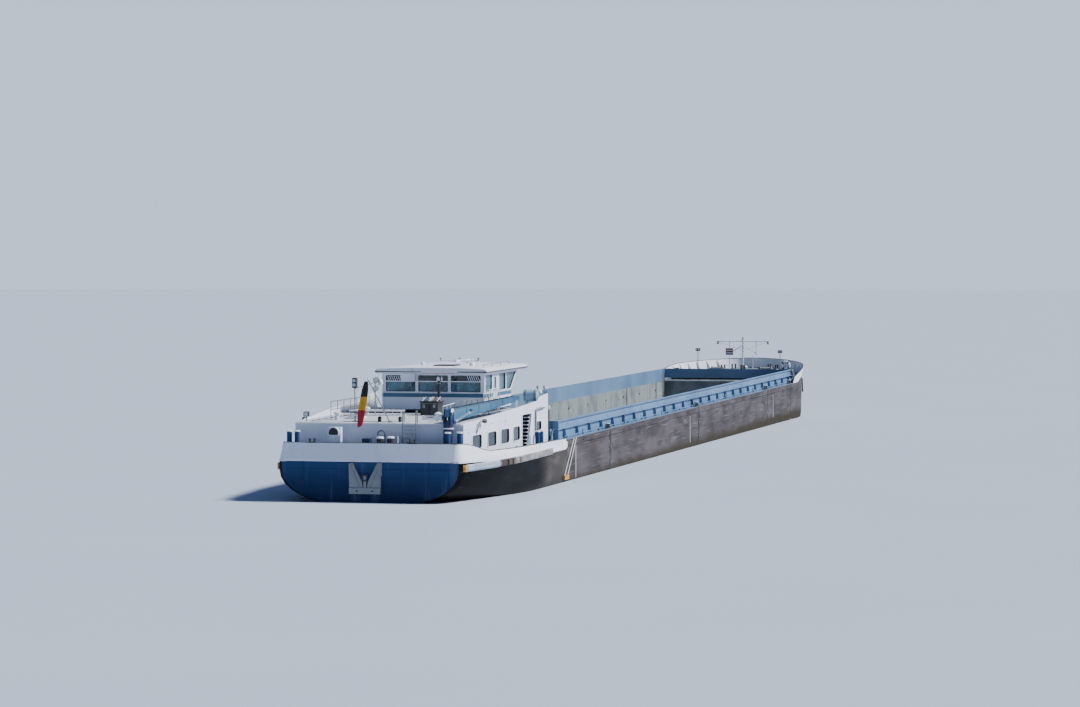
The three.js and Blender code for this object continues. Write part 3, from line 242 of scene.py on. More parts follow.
def make_hull_side():
    """Weathered grey hull side with lengthwise scrapes, upright seams, rust and a stained foot."""
    f = Finish("hull_side_paint", 0.62)
    x, y, z = f.axes()
    cloud = f.noise(5.5, (0.5, 1, 1.4), 8)
    rust = f.spots(38, 0.6, 0.72, (0.6, 1, 0.35), 8, 6.1)
    seams = plate_seams(f, 0.61, 0.07)
    colour = f.ramp(cloud, 0.3, 0.7, "3b383d", "545156")
    colour = f.stain(colour, f.spots(16, 0.5, 0.66, (0.25, 1, 1.2), 7, 2.4), 0.55, "2d2b2f")
    colour = f.stain(colour, f.spots(55, 0.57, 0.68, (0.05, 1, 2.6), 6, 1.3), 0.5, "7d7a81")
    colour = f.stain(colour, rust, 0.55, "573a2c")
    colour = f.stain(colour, seams, 0.6, "29272b")
    foot = f.math("SUBTRACT", z, f.times(f.noise(12, (0.3, 1, 1), 5, 3.0), 0.05))
    colour = f.ramp(foot, 0.16, 0.09, colour, "2f2b20")
    deck = f.mix(f.spots(20, 0.4, 0.65, detail=8, shift=1.0), "55636c", "6f7d85")
    colour = f.stain(colour, f.flat(0.6, 0.8), f.step(z, 0.355, 0.358), deck)
    paint = f.mix(f.spots(9, 0.42, 0.7, (0.6, 1, 0.8), 7, 8.0), "7f8c92", "66737a")
    paint = f.stain(paint, rust, 0.8, "6b4026")
    inside = f.step(f.math("ABSOLUTE", y), 0.5062, 0.5055)
    hold = f.times(inside, f.band(x, HOLD_AFT_X - 0.01, HOLD_FORE_X + 0.01, 0.001))
    colour = f.stain(colour, hold, f.flat(0.8, 0.6), paint)
    # Dark rope-worn streaks below each berth
    for berth in BERTH_XS:
        worn = f.times(f.band(x, berth - 0.012, berth + 0.012, 0.02),
                       f.spots(60, 0.35, 0.6, (1, 1, 0.1), 5, berth))
        colour = f.stain(colour, worn, f.step(z, 0.12, 0.2), "232226")
    f.colour(colour).rough(cloud, 0.75, 0.95).shine(0.15)
    return f.bump(f.plus(f.noise(45, (0.3, 1, 1.3), 5), f.times(seams, -0.6)), 0.25)


def make_strake():
    """Strake paint: pale blue-grey aft, rubbed to rusty black at the quarter, scuffed grey forward."""
    f = Finish("strake_paint", 0.6)
    cloud = f.noise(30, (0.5, 1, 1), 6)
    pale = f.ramp(cloud, 0.35, 0.65, "9aa9bd", "8494ab")
    rubbed = f.ramp(cloud, 0.4, 0.6, "191718", "3a2a24")
    grey = f.ramp(cloud, 0.35, 0.65, "6c6b70", "8f8f95")
    edge = f.plus(f.axes()[0], f.times(f.noise(40, detail=5, shift=2.0), 0.08))
    colour = f.ramp(edge, -5.02, -4.98, pale, rubbed)
    colour = f.ramp(edge, -4.8, -4.72, colour, grey)
    colour = f.stain(colour, f.spots(60, 0.55, 0.68, (0.2, 1, 2), 6, 1.5), 0.45, "4a4442")
    return f.colour(colour).rough(cloud, 0.5, 0.8).bump(cloud, 0.2)


def make_hold():
    """Worn tank top: grey-brown steel with long scrapes and rust blooms, and a dark underside."""
    f = Finish("hold_floor", 0.7)
    cloud = f.noise(3.2, (0.7, 1, 1), 8)
    colour = f.ramp(cloud, 0.35, 0.65, "6d675f", "857e74")
    colour = f.stain(colour, f.spots(11, 0.5, 0.68, (0.8, 1, 1), 9, 3.3), 0.7, "714832")
    colour = f.stain(colour, f.spots(60, 0.58, 0.68, (0.06, 2, 1), 6, 1.3), 0.5, "a39d94")
    colour = f.stain(colour, plate_seams(f, 0.9), 0.5, "47413a")
    colour = f.ramp(f.axes()[2], 0.055, 0.05, colour, "1c1d20")
    return f.colour(colour).rough(cloud, 0.55, 0.85).bump(f.noise(30, detail=6), 0.2)


def make_deck(name, base, shade):
    """Non-slip deck paint, worn paler where people walk."""
    f = Finish(name, 0.75)
    cloud = f.noise(6, detail=7)
    colour = f.ramp(cloud, 0.35, 0.65, base, shade)
    colour = f.stain(colour, f.spots(18, 0.56, 0.72, detail=8, shift=2.0), 0.35, "4d463e")
    return f.colour(colour).rough(cloud, 0.6, 0.9).bump(f.noise(420, detail=2), 0.35, 0.0006)


def make_glass(name, colour, film, alpha, roughness=0.05):
    """Tinted window glass with a faint film of dust."""
    f = Finish(name, roughness)
    f.colour(f.mix(f.spots(12, 0.35, 0.75, detail=5), colour, film)).rough(f.noise(30, detail=4), 0.02,
                                                                           0.12)
    f.shader.inputs["Alpha"].default_value = alpha
    return f.shine(0.8)


def make_timber():
    """Oak wood with long grain, weathered to grey, and the pale ropes that carry the fenders."""
    f = Finish("timber_grain", 0.8)
    x, _, z = f.axes()
    grain = f.noise(40, (0.12, 1, 1.5), 8)
    colour = f.ramp(grain, 0.35, 0.65, "b98c4c", "8a6434")
    colour = f.stain(colour, f.spots(9, 0.5, 0.7, detail=6, shift=4.0), 0.5, "8d877b")
    colour = f.stain(colour, f.step(z, 0.1695, 0.1705), f.step(x, -4.0, -3.9), "cfd0cc")
    return f.colour(colour).bump(grain, 0.4)


def make_flag():
    """Woven bunting in black, yellow and red bands down the hanging cloth."""
    f = Finish("flag_bunting", 0.85)
    z = f.axes()[2]
    colour = f.ramp(z, 0.66, 0.662, "dba520", "17171b")
    colour = f.ramp(z, 0.596, 0.594, colour, "a81d28")
    weave = f.noise(900, detail=2)
    colour = f.stain(colour, f.step(weave, 0.4, 0.7), 0.25, "0c0c0e")
    f.shader.inputs["Sheen Weight"].default_value = 0.3
    return f.colour(colour).bump(weave, 0.5, 0.0004)


def make_blind():
    """Pale slats of a louvred blind."""
    f = Finish("blind_slats", 0.7)
    tone = f.noise(25, (1, 1, 4), 3)
    return f.colour(f.ramp(tone, 0.35, 0.65, "dfdedb", "b4b5b6")).bump(tone, 0.2)


FINISH = {
    "aft_hull": make_aft_hull(),
    "hull_side": make_hull_side(),
    "hold": make_hold(),
    "strake": make_strake(),
    "timber": make_timber(),
    "flag": make_flag(),
    "blind": make_blind(),
    "white": painted("white_enamel", "e8ecf8", "dae0ee", 0.38, 0.5, 0.25),
    "house": painted("house_enamel", "e0e7f6", "d0d9ec", 0.42, 0.35),
    "blue": painted("coaming_blue_paint", "6183a8", "4e7095", 0.5, 0.5, 0.45),
    "teal": painted("boom_teal_paint", "2c5a7a", "3d7090", 0.4, 0.45),
    "navy": painted("navy_paint", "081b47", "0e2654", 0.5, 0.3, 0.15),
    "dark": painted("dark_paint", "2c2f34", "3d4147", 0.55, 0.4, 0.2),
    "black": painted("black_plastic", "141517", "222427", 0.5, 0.3),
    "grey": painted("winch_grey_paint", "8b9196", "74797e", 0.5, 0.6, 0.35, 2.0),
    "raft": painted("raft_shell", "8fb0c6", "7f9fb6", 0.35, 0.3),
    "rudder": painted("rudder_antifouling", "3c2a28", "4b3430", 0.7, 0.5, 0.5),
    "red": painted("signal_red", "b3261e", "8f1f1a", 0.45, 0.3),
    "rail": painted("rubbing_rail_paint", "57575c", "3f3f43", 0.6, 0.9, 0.8, 2.0),
    "rubbed": painted("rubbed_strake_paint", "6d675f", "3f3b38", 0.7, 0.9, 0.9, 3.0),
    "mark": painted("faded_mark_paint", "a9abb0", "8b8c90", 0.6, 0.9, 0.6, 3.0),
    "wall": painted("hold_side_paint", "7c8990", "69757c", 0.6, 0.8, 0.8, 1.5),
    "deck": make_deck("deck_nonslip", "5c6a73", "707d85"),
    "roof": make_deck("roof_nonslip", "b9c1c8", "a7b0b8"),
    "steel": metal("galvanised_steel", "9da3a8", "7f858a", 0.42, 0.75),
    "chrome": metal("polished_rod", "c9cdd0", "b4b8bc", 0.2, 0.95),
    "bronze": metal("bronze_cast", "b08a4a", "8c6a36", 0.35, 0.9),
    "glass": make_glass("window_glass", "1d4a5c", "4f93ab", 0.62),
    "dark_glass": make_glass("cabin_glass", "0e1a22", "24404c", 0.8),
    "lamp": make_glass("lamp_glass", "cfd8da", "aebabd", 0.9, 0.15),
}

# The CAD nodes that keep their own shape, by finish
CAD_FINISH = {
    "aft_hull": "aft_hull",
    "hull_side": "wing_port wing_starboard fore_hull",
    "hold": "double_bottom",
    "white": "bulwark_stern bulwark_bow bow_mast radar_scanner roof_mast wheelhouse_roof",
    "house": "house_wall_port house_wall_starboard house_wall_aft house_wall_fore house_door cowl_vent "
             "wheelhouse_wall_port wheelhouse_wall_starboard wheelhouse_wall_aft wheelhouse_wall_fore "
             "wheelhouse_door",
    "blue": "coaming_port coaming_starboard coaming_aft coaming_fore crane_cylinder",
    "teal": "crane_boom",
    "navy": "crane_column",
    "strake": "strake_port strake_starboard",
    "dark": "breakwater roof_locker radar_mast anchor_bow_port anchor_bow_starboard wheelhouse_floor stair",
    "grey": "winch_stern winch_bow_port winch_bow_starboard anchor_stern lift_trunk",
    "raft": "liferaft",
    "rudder": "nozzle rudder_port rudder_starboard",
    "deck": "hatch_engine hatch_forepeak",
    "roof": "house_roof",
    "steel": "ladder roof_rail_port roof_rail_starboard flagstaff lift_column",
    "chrome": "crane_rod",
    "bronze": "propeller",
    "timber": "fender_port fender_starboard",
    "flag": "flag",
}
for finish, names in CAD_FINISH.items():
    for name in names.split():
        for slot in nodes[name].material_slots:
            slot.material = FINISH[finish].material


def smooth_shading():
    """Geometry nodes that shade a faceted mesh smooth wherever its edges are blunt."""
    group = bpy.data.node_groups.new("smooth_shading", "GeometryNodeTree")
    for way in ("INPUT", "OUTPUT"):
        group.interface.new_socket(name="Geometry", in_out=way, socket_type="NodeSocketGeometry")
    kinds = ("NodeGroupInput", "GeometryNodeRemoveAttribute", "GeometryNodeMergeByDistance",
             "GeometryNodeSetShadeSmooth", "GeometryNodeSetShadeSmooth", "NodeGroupOutput")
    chain = [group.nodes.new(kind) for kind in kinds]
    remove, merge, edges = chain[1], chain[2], chain[4]
    remove.inputs["Name"].default_value = "custom_normal"
    merge.inputs["Distance"].default_value = 0.00001
    edges.domain = "EDGE"
    edges.inputs["Shade Smooth"].default_value = False
    angle = group.nodes.new("GeometryNodeInputMeshEdgeAngle")
    sharp = group.nodes.new("FunctionNodeCompare")
    sharp.operation = "GREATER_THAN"
    sharp.inputs[1].default_value = math.radians(33)
    group.links.new(angle.outputs["Unsigned Angle"], sharp.inputs[0])
    group.links.new(sharp.outputs[0], edges.inputs["Selection"])
    for before, after in zip(chain, chain[1:]):
        group.links.new(before.outputs[0], after.inputs[0])
    return group


SMOOTH = smooth_shading()
ROUNDED_NODES = (
    "aft_hull fore_hull bulwark_stern bulwark_bow wing_port wing_starboard crane_column liferaft "
    "wheelhouse_roof cowl_vent strake_port strake_starboard nozzle propeller rudder_port rudder_starboard "
    "crane_cylinder crane_rod lift_column bow_mast flagstaff winch_stern winch_bow_port "
    "winch_bow_starboard anchor_stern")
for name in ROUNDED_NODES.split():
    nodes[name].modifiers.new("smooth", "NODES").node_group = SMOOTH


# Geometry helpers

PLACE = {
    "x": lambda point, at: (at, *point),
    "y": lambda point, at: (point[0], at, point[1]),
    "z": lambda point, at: (*point, at),
}


def turns(count):
    """Evenly spaced angles of one full turn."""
    return [2 * math.pi * k / count for k in range(count)]


class Piece:
    """Collects closed shapes, each with a finish, into one mesh."""

    def __init__(self):
        self.vertices, self.faces, self.finishes, self.used = [], [], [], []

    def add(self, vertices, faces, finish):
        base = len(self.vertices)
        if finish not in self.used:
            self.used.append(finish)
        self.vertices += [tuple(v) for v in vertices]
        self.faces += [tuple(base + i for i in face) for face in faces]
        self.finishes += [self.used.index(finish)] * len(faces)

    def box(self, corner, opposite, finish):
        xs, ys, zs = (sorted(pair) for pair in zip(corner, opposite))
        faces = [(0, 1, 3, 2), (4, 6, 7, 5), (0, 4, 5, 1), (2, 3, 7, 6), (0, 2, 6, 4), (1, 5, 7, 3)]
        self.add([(x, y, z) for x in xs for y in ys for z in zs], faces, finish)

    def block(self, centre, half, low, high, finish):
        """An upright box around a point of the plan."""
        (x, y), (dx, dy) = centre, half
        self.box((x - dx, y - dy, low), (x + dx, y + dy, high), finish)

    def loft(self, rings, finish, closed=False):
        """Joins rings of equal length. Closed makes a loop, otherwise both ends are capped."""
        count = len(rings[0])
        faces = []
        for r in range(len(rings) if closed else len(rings) - 1):
            low, high = r * count, ((r + 1) % len(rings)) * count
            for i in range(count):
                j = (i + 1) % count
                faces.append((low + i, low + j, high + j, high + i))
        if not closed:
            faces.append(tuple(reversed(range(count))))
            faces.append(tuple(range((len(rings) - 1) * count, len(rings) * count)))
        self.add([p for ring in rings for p in ring], faces, finish)

    def tube(self, path, radius, finish, sides=6, closed=False, flat=1.0):
        """A bar along a path. radius may be one number or one for each point."""
        points = [Vector(p) for p in path]
        radii = radius if isinstance(radius, (list, tuple)) else [radius] * len(points)
        rings = []
        across = None
        for i, point in enumerate(points):
            before = points[i - 1] if (i or closed) else point
            after = points[(i + 1) % len(points)] if (i + 1 < len(points) or closed) else point
            along = (after - before).normalized()
            if across is None:
                across = along.cross(Vector(UP if abs(along.z) < 0.9 else AHEAD))
            across = (across - along * across.dot(along)).normalized()
            other = along.cross(across)
            rings.append([point + across * (math.cos(a) * radii[i]) + other * (math.sin(a) * radii[i] * flat)
                          for a in turns(sides)])
        self.loft(rings, finish, closed)

    def post(self, x, y, low, high, radius, finish, sides=6):
        self.tube([(x, y, low), (x, y, high)], radius, finish, sides)

    def turned(self, rows, origin, axis, finish, sides=20):
        """A turned shape. Each row: distance along the axis, radius."""
        axis = Vector(axis).normalized()
        across = axis.cross(Vector(UP if abs(axis.z) < 0.9 else AHEAD)).normalized()
        other = axis.cross(across)
        origin = Vector(origin)
        self.loft([[origin + axis * d + across * (math.cos(a) * r) + other * (math.sin(a) * r)
                    for a in turns(sides)] for d, r in rows], finish)

    def disc(self, radius, low, high, origin, axis, finish, sides=20):
        """A short cylinder between two distances along its axis."""
        self.turned([(low, radius), (high, radius)], origin, axis, finish, sides)

    def prism(self, outline, place, low, high, finish):
        """An outline pushed from one depth to another. place is x, y, z, or a function of point and depth."""
        at = PLACE.get(place, place)
        self.loft([[at(p, depth) for p in outline] for depth in sorted((low, high))], finish)

    def ring(self, outer, inner, place, low, high, finish):
        """A frame between two outlines of equal length, placed as in prism."""
        at = PLACE.get(place, place)
        low, high = sorted((low, high))
        rings = [[at(p, depth) for p in outline]
                 for outline, depth in ((outer, low), (outer, high), (inner, high), (inner, low))]
        self.loft(rings, finish, closed=True)

    def make(self, name, slot, body="hull", bevel=0.0):
        mesh = bpy.data.meshes.new(name)
        mesh.from_pydata(self.vertices, [], self.faces)
        for finish in self.used:
            mesh.materials.append(FINISH[finish].material)
        mesh.polygons.foreach_set("material_index", self.finishes)
        tidy = bmesh.new()
        tidy.from_mesh(mesh)
        bmesh.ops.recalc_face_normals(tidy, faces=tidy.faces)
        tidy.to_mesh(mesh)
        tidy.free()
        mesh.shade_smooth()
        mesh.set_sharp_from_angle(angle=math.radians(38))
        thing = bpy.data.objects.new(name, mesh)
        bpy.context.scene.collection.objects.link(thing)
        if bevel:
            edge = thing.modifiers.new("edge", "BEVEL")
            edge.width = bevel
            edge.segments = 2
            edge.limit_method = "ANGLE"
            edge.angle_limit = math.radians(40)
            edge.harden_normals = True
        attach(thing, body)


def rect(x0, x1, z0, z1):
    return [(x0, z0), (x1, z0), (x1, z1), (x0, z1)]


def rounded(x0, x1, z0, z1, radius, steps=4):
    """A rectangle's outline with rounded corners."""
    outline = []
    for cx, cz, start in ((x1 - radius, z1 - radius, 0), (x0 + radius, z1 - radius, 90),
                          (x0 + radius, z0 + radius, 180), (x1 - radius, z0 + radius, 270)):
        for k in range(steps + 1):
            turn = math.radians(start + 90 * k / steps)
            outline.append((cx + radius * math.cos(turn), cz + radius * math.sin(turn)))
    return outline


def square(x, y, half, radius):
    """A rounded square around a point."""
    return rounded(x - half, x + half, y - half, y + half, radius)


def inset(outline, by):
    """A convex outline with each edge moved inward, or outward where by is negative."""
    following = outline[1:] + outline[:1]
    turn = math.copysign(1, sum(a[0] * b[1] - b[0] * a[1] for a, b in zip(outline, following)))
    lines = []
    for a, b in zip(outline, following):
        size = math.hypot(b[0] - a[0], b[1] - a[1])
        nx, nz = (a[1] - b[1]) / size * turn, (b[0] - a[0]) / size * turn
        lines.append((nx, nz, nx * a[0] + nz * a[1] + by))
    moved = []
    for (a1, b1, c1), (a2, b2, c2) in zip(lines[-1:] + lines[:-1], lines):
        det = a1 * b2 - a2 * b1
        moved.append(((c1 * b2 - c2 * b1) / det, (a1 * c2 - a2 * c1) / det))
    return moved


def softened(outline, radius, steps=3):
    """An outline with its corners rounded."""
    points = []
    for before, corner, after in zip(outline[-1:] + outline[:-1], outline, outline[1:] + outline[:1]):
        c = Vector(corner)
        start = c + (Vector(before) - c).normalized() * radius
        end = c + (Vector(after) - c).normalized() * radius
        for k in range(steps + 1):
            t = k / steps
            points.append(tuple(start * (1 - t) ** 2 + c * (2 * t * (1 - t)) + end * t ** 2))
    return points


def circle(cx, cz, radius, steps=20):
    return [(cx + radius * math.cos(t), cz + radius * math.sin(t)) for t in turns(steps)]


def hoop(place, at, *circle_values):
    """A circle's points in the plane across one axis."""
    return [PLACE[place](point, at) for point in circle(*circle_values)]


def table_read(rows, x, column=1):
    """Linear reading of a table whose first column is x."""
    ordered = sorted(rows)
    for low, high in zip(ordered, ordered[1:]):
        if x <= high[0]:
            share = (x - low[0]) / (high[0] - low[0])
            return low[column] + (high[column] - low[column]) * share
    return ordered[-1][column]


# Camera, lights and floor

def place_camera():
    data = bpy.data.cameras.new("photo_camera")
    data.sensor_width = 36.0
    data.lens = 103.0
    data.clip_end = 1000.0
    camera = bpy.data.objects.new("photo_camera", data)
    forward = Vector((0.97048892, 0.23916922, -0.03081133)).normalized()
    right = Vector((0.23924, -0.97096, -0.00162))
    right = (right - forward * right.dot(forward)).normalized()
    turn = Matrix((right, right.cross(forward), -forward)).transposed()
    camera.matrix_world = Matrix.Translation((-19.992, -4.44, 1.3428)) @ turn.to_4x4()
    bpy.context.scene.collection.objects.link(camera)
    bpy.context.scene.camera = camera


def place_lights():
    """A soft sun, and a sky that is as pale as the floor near the horizon and blue above."""
    sun = bpy.data.lights.new("key", "SUN")
    sun.energy = 8.0
    sun.angle = math.radians(9)
    sun.color = (1.0, 0.965, 0.91)
    key = bpy.data.objects.new("key", sun)
    key.rotation_euler = Vector((0.22, -0.7, 0.78)).to_track_quat("Z", "Y").to_euler()
    bpy.context.scene.collection.objects.link(key)
    world = bpy.data.worlds.new("studio")
    world.use_nodes = True
    tree = world.node_tree
    background = tree.nodes["Background"]
    place, parts, rise, blend = (tree.nodes.new("ShaderNode" + kind)
                                 for kind in ("TexCoord", "SeparateXYZ", "MapRange", "Mix"))
    blend.data_type = "RGBA"
    rise.inputs["From Min"].default_value = 0.08
    rise.inputs["From Max"].default_value = 0.14
    blend.inputs[6].default_value = (2.95, 3.45, 4.35, 1)
    blend.inputs[7].default_value = (0.3, 0.5, 1.0, 1)
    tree.links.new(place.outputs["Generated"], parts.inputs[0])
    tree.links.new(parts.outputs[2], rise.inputs["Value"])
    tree.links.new(rise.outputs["Result"], blend.inputs[0])
    tree.links.new(blend.outputs[2], background.inputs["Color"])
    background.inputs["Strength"].default_value = 0.26
    bpy.context.scene.world = world


def hull_outline():
    """The hull's outline in the water's surface: stern to stem up the port side, then back."""
    trees = []
    for name in ("aft_hull", "wing_port", "fore_hull"):
        mesh = nodes[name].data
        trees.append(BVHTree.FromPolygons([v.co for v in mesh.vertices],
                                          [p.vertices for p in mesh.polygons]))
    stations = [-5.4815, -5.478, -5.47, -5.45, -5.4, -5.3, -5.15, -5.0, -4.8, -4.6, -4.43, -4.0, -3.7,
                0.0, 4.2, 4.3, 4.4, 4.5, 4.6, 4.7, 4.8, 4.9, 5.0, 5.1, 5.18, 5.25, 5.3, 5.34, 5.37]
    port = []
    for x in stations:
        hits = [tree.ray_cast(Vector((x, 2.0, water_z(x))), Vector((0, -1, 0)))[0] for tree in trees]
        reach = max((hit.y for hit in hits if hit), default=0.0)
        if reach > 0.01:
            port.append((x, reach - 0.002))
    return port + [(x, -y) for x, y in reversed(port)]


def place_floor():
    """The pale floor, at the water's surface and open inside the hull's outline."""
    inner = hull_outline()
    count = len(inner)
    vertices = []
    reaches = (0.0, 0.5, 3.0, 300.0)
    for reach in reaches:
        for x, y in inner:
            away = Vector((x, y * 6)).normalized()
            px, py = x + away.x * reach, y + away.y * reach
            vertices.append((px, py, water_z(px)))
    faces = []
    for r in range(len(reaches) - 1):
        for i in range(count):
            j = (i + 1) % count
            a, b = r * count, (r + 1) * count
            faces.append((a + i, b + i, b + j, a + j))
    mesh = bpy.data.meshes.new("floor")
    mesh.from_pydata(vertices, [], faces)
    floor = bpy.data.objects.new("floor", mesh)
    f = Finish("floor_matt", 0.65)
    f.colour(f.mix(f.noise(0.6, detail=3), "a4b2c8", "abb9ce"))
    mesh.materials.append(f.material)
    bpy.context.scene.collection.objects.link(floor)


# Bulwarks. Each row: x, y, inward x, inward y, top, lean; the plates are 7 mm thick.

STERN_RAIL = [
    (-3.7, 0.5705, 0, -1, 0.365, 0), (-4.1, 0.5705, 0, -1, 0.37, 0.001),
    (-4.43, 0.5705, 0, -1, 0.374, 0.002), (-4.68, 0.567, -0.02, -1, 0.377, 0.004),
    (-4.88, 0.558, 0.06, -1, 0.38, 0.006), (-5.13, 0.533, 0.12, -0.99, 0.385, 0.008),
    (-5.21, 0.52, 0.14, -0.99, 0.394, 0.01), (-5.29, 0.508, 0.16, -0.98, 0.412, 0.013),
    (-5.37, 0.493, 0.18, -0.98, 0.428, 0.016), (-5.435, 0.478, 0.25, -0.96, 0.433, 0.017),
    (-5.463, 0.466, 0.5, -0.86, 0.434, 0.017), (-5.477, 0.45, 0.86, -0.5, 0.4345, 0.017),
    (-5.483, 0.429, 1, 0, 0.435, 0.017),
]
BOW_RAIL = [
    (4.02, 0.5705, 0, -1, 0.363, 0), (4.09, 0.5705, 0, -1, 0.405, 0), (4.245, 0.5705, 0, -1, 0.425, 0),
    (4.4, 0.5635, -0.07, -1, 0.44, -0.004), (4.6, 0.545, -0.13, -0.99, 0.462, -0.01),
    (4.8, 0.5125, -0.22, -0.97, 0.48, -0.014), (5.0, 0.4595, -0.33, -0.94, 0.486, -0.016),
    (5.18, 0.3855, -0.47, -0.88, 0.492, -0.016), (5.32, 0.298, -0.6, -0.8, 0.497, -0.016),
    (5.42, 0.2035, -0.76, -0.65, 0.502, -0.014), (5.47, 0.118, -0.9, -0.44, 0.505, -0.008),
    (5.494, 0.044, -0.99, -0.15, 0.507, 0),
]
BULWARK_THICK = 0.007
FORE_DECK = [(4.245, 0.386), (4.4, 0.385), (4.6, 0.395), (4.8, 0.4), (5.0, 0.406), (5.18, 0.412),
             (5.32, 0.418), (5.42, 0.423), (5.48, 0.427)]


def both_sides(rows):
    return list(rows) + [(x, -y, ix, -iy, *rest) for x, y, ix, iy, *rest in reversed(rows)]


def make_cap_rails():
    """A dark half-round along the top of each bulwark."""
    for name, rows in (("cap_rail_stern", STERN_RAIL), ("cap_rail_bow", BOW_RAIL)):
        piece = Piece()
        path = []
        for x, y, ix, iy, top, lean in both_sides(rows):
            size = math.hypot(ix, iy)
            inward = lean + BULWARK_THICK / 2
            path.append((x + ix / size * inward, y + iy / size * inward, top + 0.0008))
        piece.tube(path, 0.0048, "dark", 10, flat=0.55)
        piece.make(name, "dark_paint")


def make_bulwark_stays():
    """Bracket plates from the deck to the bulwark's top, inside."""
    for name, rows, stations, deck, reach in (
            ("bulwark_stays_stern", STERN_RAIL, [-3.9, -4.2, -4.5, -4.8, -5.1, -5.36], DECK_Z, 0.003),
            ("bulwark_stays_bow", BOW_RAIL, [4.4, 4.55, 4.7, 4.85, 5.0, 5.12, 5.24, 5.34], None, 0.002)):
        piece = Piece()
        for x in stations:
            y, top, lean = (table_read(rows, x, c) for c in (1, 4, 5))
            foot = (deck or table_read(FORE_DECK, x)) + 0.001
            inner = y - BULWARK_THICK - 0.001
            for side in (1, -1):
                outline = [(side * (inner - 0.0005), foot), (side * (inner - lean - 0.0005), top - 0.006),
                           (side * (inner - lean - 0.006), top - 0.008),
                           (side * (inner - 0.024 - reach), foot)]
                piece.prism(outline, "x", x - 0.0012, x + 0.0012, "white")
        piece.make(name, "white_paint")


# Deckhouse. Each row: x, half breadth, top of the side panel.

HOUSE_SIDE = [(-5.32, 0.435, 0.522), (-4.73, 0.4749, 0.555), (-4.58, 0.485, 0.56), (-3.98, 0.485, 0.582),
              (-3.94, 0.485, 0.6), (-3.77, 0.485, 0.612)]
# Aft edge, fore edge, sill, head
HOUSE_WINDOWS = [(-5.188, -5.045, 0.394, 0.463), (-4.948, -4.813, 0.393, 0.466),
                 (-4.739, -4.607, 0.395, 0.469), (-4.528, -4.39, 0.397, 0.47),
                 (-4.032, -3.922, 0.424, 0.473)]
STAIR_OPENING = [(-4.34, 0.356), (-4.208, 0.356), (-4.14, 0.524), (-4.34, 0.524)]
HOUSE_SEAM = [(-5.31, 0.5), (-5.21, 0.501), (-4.73, 0.519), (-4.345, 0.533), (-4.15, 0.539), (-3.78, 0.545)]
HOUSE_HALF = 0.485


def on_wall(side):
    """Places (x, z) on the house's side wall, depth measured outward from its face."""
    return lambda point, depth: (point[0], side * (table_read(HOUSE_SIDE, point[0]) + depth), point[1])


def window_set(frames, panes, blinds, opening, place):
    """A frame with rounded corners, a dark gasket, glass, and a slatted blind behind it."""
    x0, x1, z0, z1 = opening

    def edge(by, radius):
        return rounded(x0 + by, x1 - by, z0 + by, z1 - by, radius)

    frames.ring(edge(-0.006, 0.02), edge(0.0006, 0.014), place, 0.0004, 0.0024, "white")
    frames.ring(edge(0.0005, 0.0084), edge(0.0028, 0.014), place, -0.0035, 0.0002, "black")
    panes.prism(edge(0.001, 0.004), place, -0.0052, -0.0038, "dark_glass")
    slat, margin, head = 0.0042, 0.01, z1 - 0.013
    pitch = slat * 1.25
    for k in range(int((x1 - x0 - 2 * margin) / pitch)):
        left = x0 + margin + k * pitch
        depth = -0.0125 - (0.0016 if k % 2 else -0.0004)
        blinds.prism(rect(left, left + slat, z0 - 0.002, head), place, depth, depth + 0.001, "blind")
    blinds.prism(rect(x0 + 0.002, x1 - 0.002, head, z1 - 0.008), place, -0.0145, -0.0095, "grey")


def make_house_windows():
    fore = [(y - 0.045, y + 0.045, 0.42, 0.49) for y in (-0.36, -0.2, 0.2, 0.36)]
    for label, place, openings in (("port", on_wall(1), HOUSE_WINDOWS),
                                   ("starboard", on_wall(-1), HOUSE_WINDOWS),
                                   ("fore", lambda point, depth: (-3.792 + depth, *point), fore)):
        frames, panes, blinds = Piece(), Piece(), Piece()
        for opening in openings:
            window_set(frames, panes, blinds, opening, place)
        frames.make(f"house_window_frames_{label}", "white_paint")
        panes.make(f"house_window_glass_{label}", "dark_paint")
        blinds.make(f"house_window_blinds_{label}", "white_paint")


def make_house_trim():
    """Seam bead, panel edge, drip rail and stair-opening frame on the side walls."""
    for side, label in SIDES:
        piece, wall = Piece(), on_wall(side)
        piece.tube([wall(p, 0.0006) for p in HOUSE_SEAM], 0.0016, "white")
        piece.tube([wall((x, z - 0.004), -0.004) for x, _, z in HOUSE_SIDE], 0.0049, "white", 8)
        piece.tube([wall((-3.77, z), -0.004) for z in (0.608, 0.362)], 0.0048, "white", 8)
        for x in (-4.77, -4.05):
            piece.tube([wall((x, z), 0.0004) for z in (0.352, table_read(HOUSE_SEAM, x))], 0.0012, "white")
        if side < 0:
            outer, inner = inset(STAIR_OPENING, -0.005), inset(STAIR_OPENING, 0.0006)
            piece.ring(softened(outer, 0.014), softened(inner, 0.01), wall, 0.0004, 0.003, "white")
        piece.make(f"house_trim_{label}", "white_paint")
    piece = Piece()
    for y in (-0.33, -0.215, 0.01, 0.15, 0.3):
        piece.post(-5.3204, y, 0.352, 0.519, 0.001, "house")
    piece.tube([(-5.3385, -0.425, 0.5255), (-5.3385, 0.425, 0.5255)], 0.005, "white", 8)
    piece.box((-5.3225, -0.425, 0.498), (-5.3202, 0.425, 0.504), "house")
    piece.make("house_aft_trim", "white_paint")


# Wheelhouse: three windows aft, three fore, and the side ones as outlines of x and z

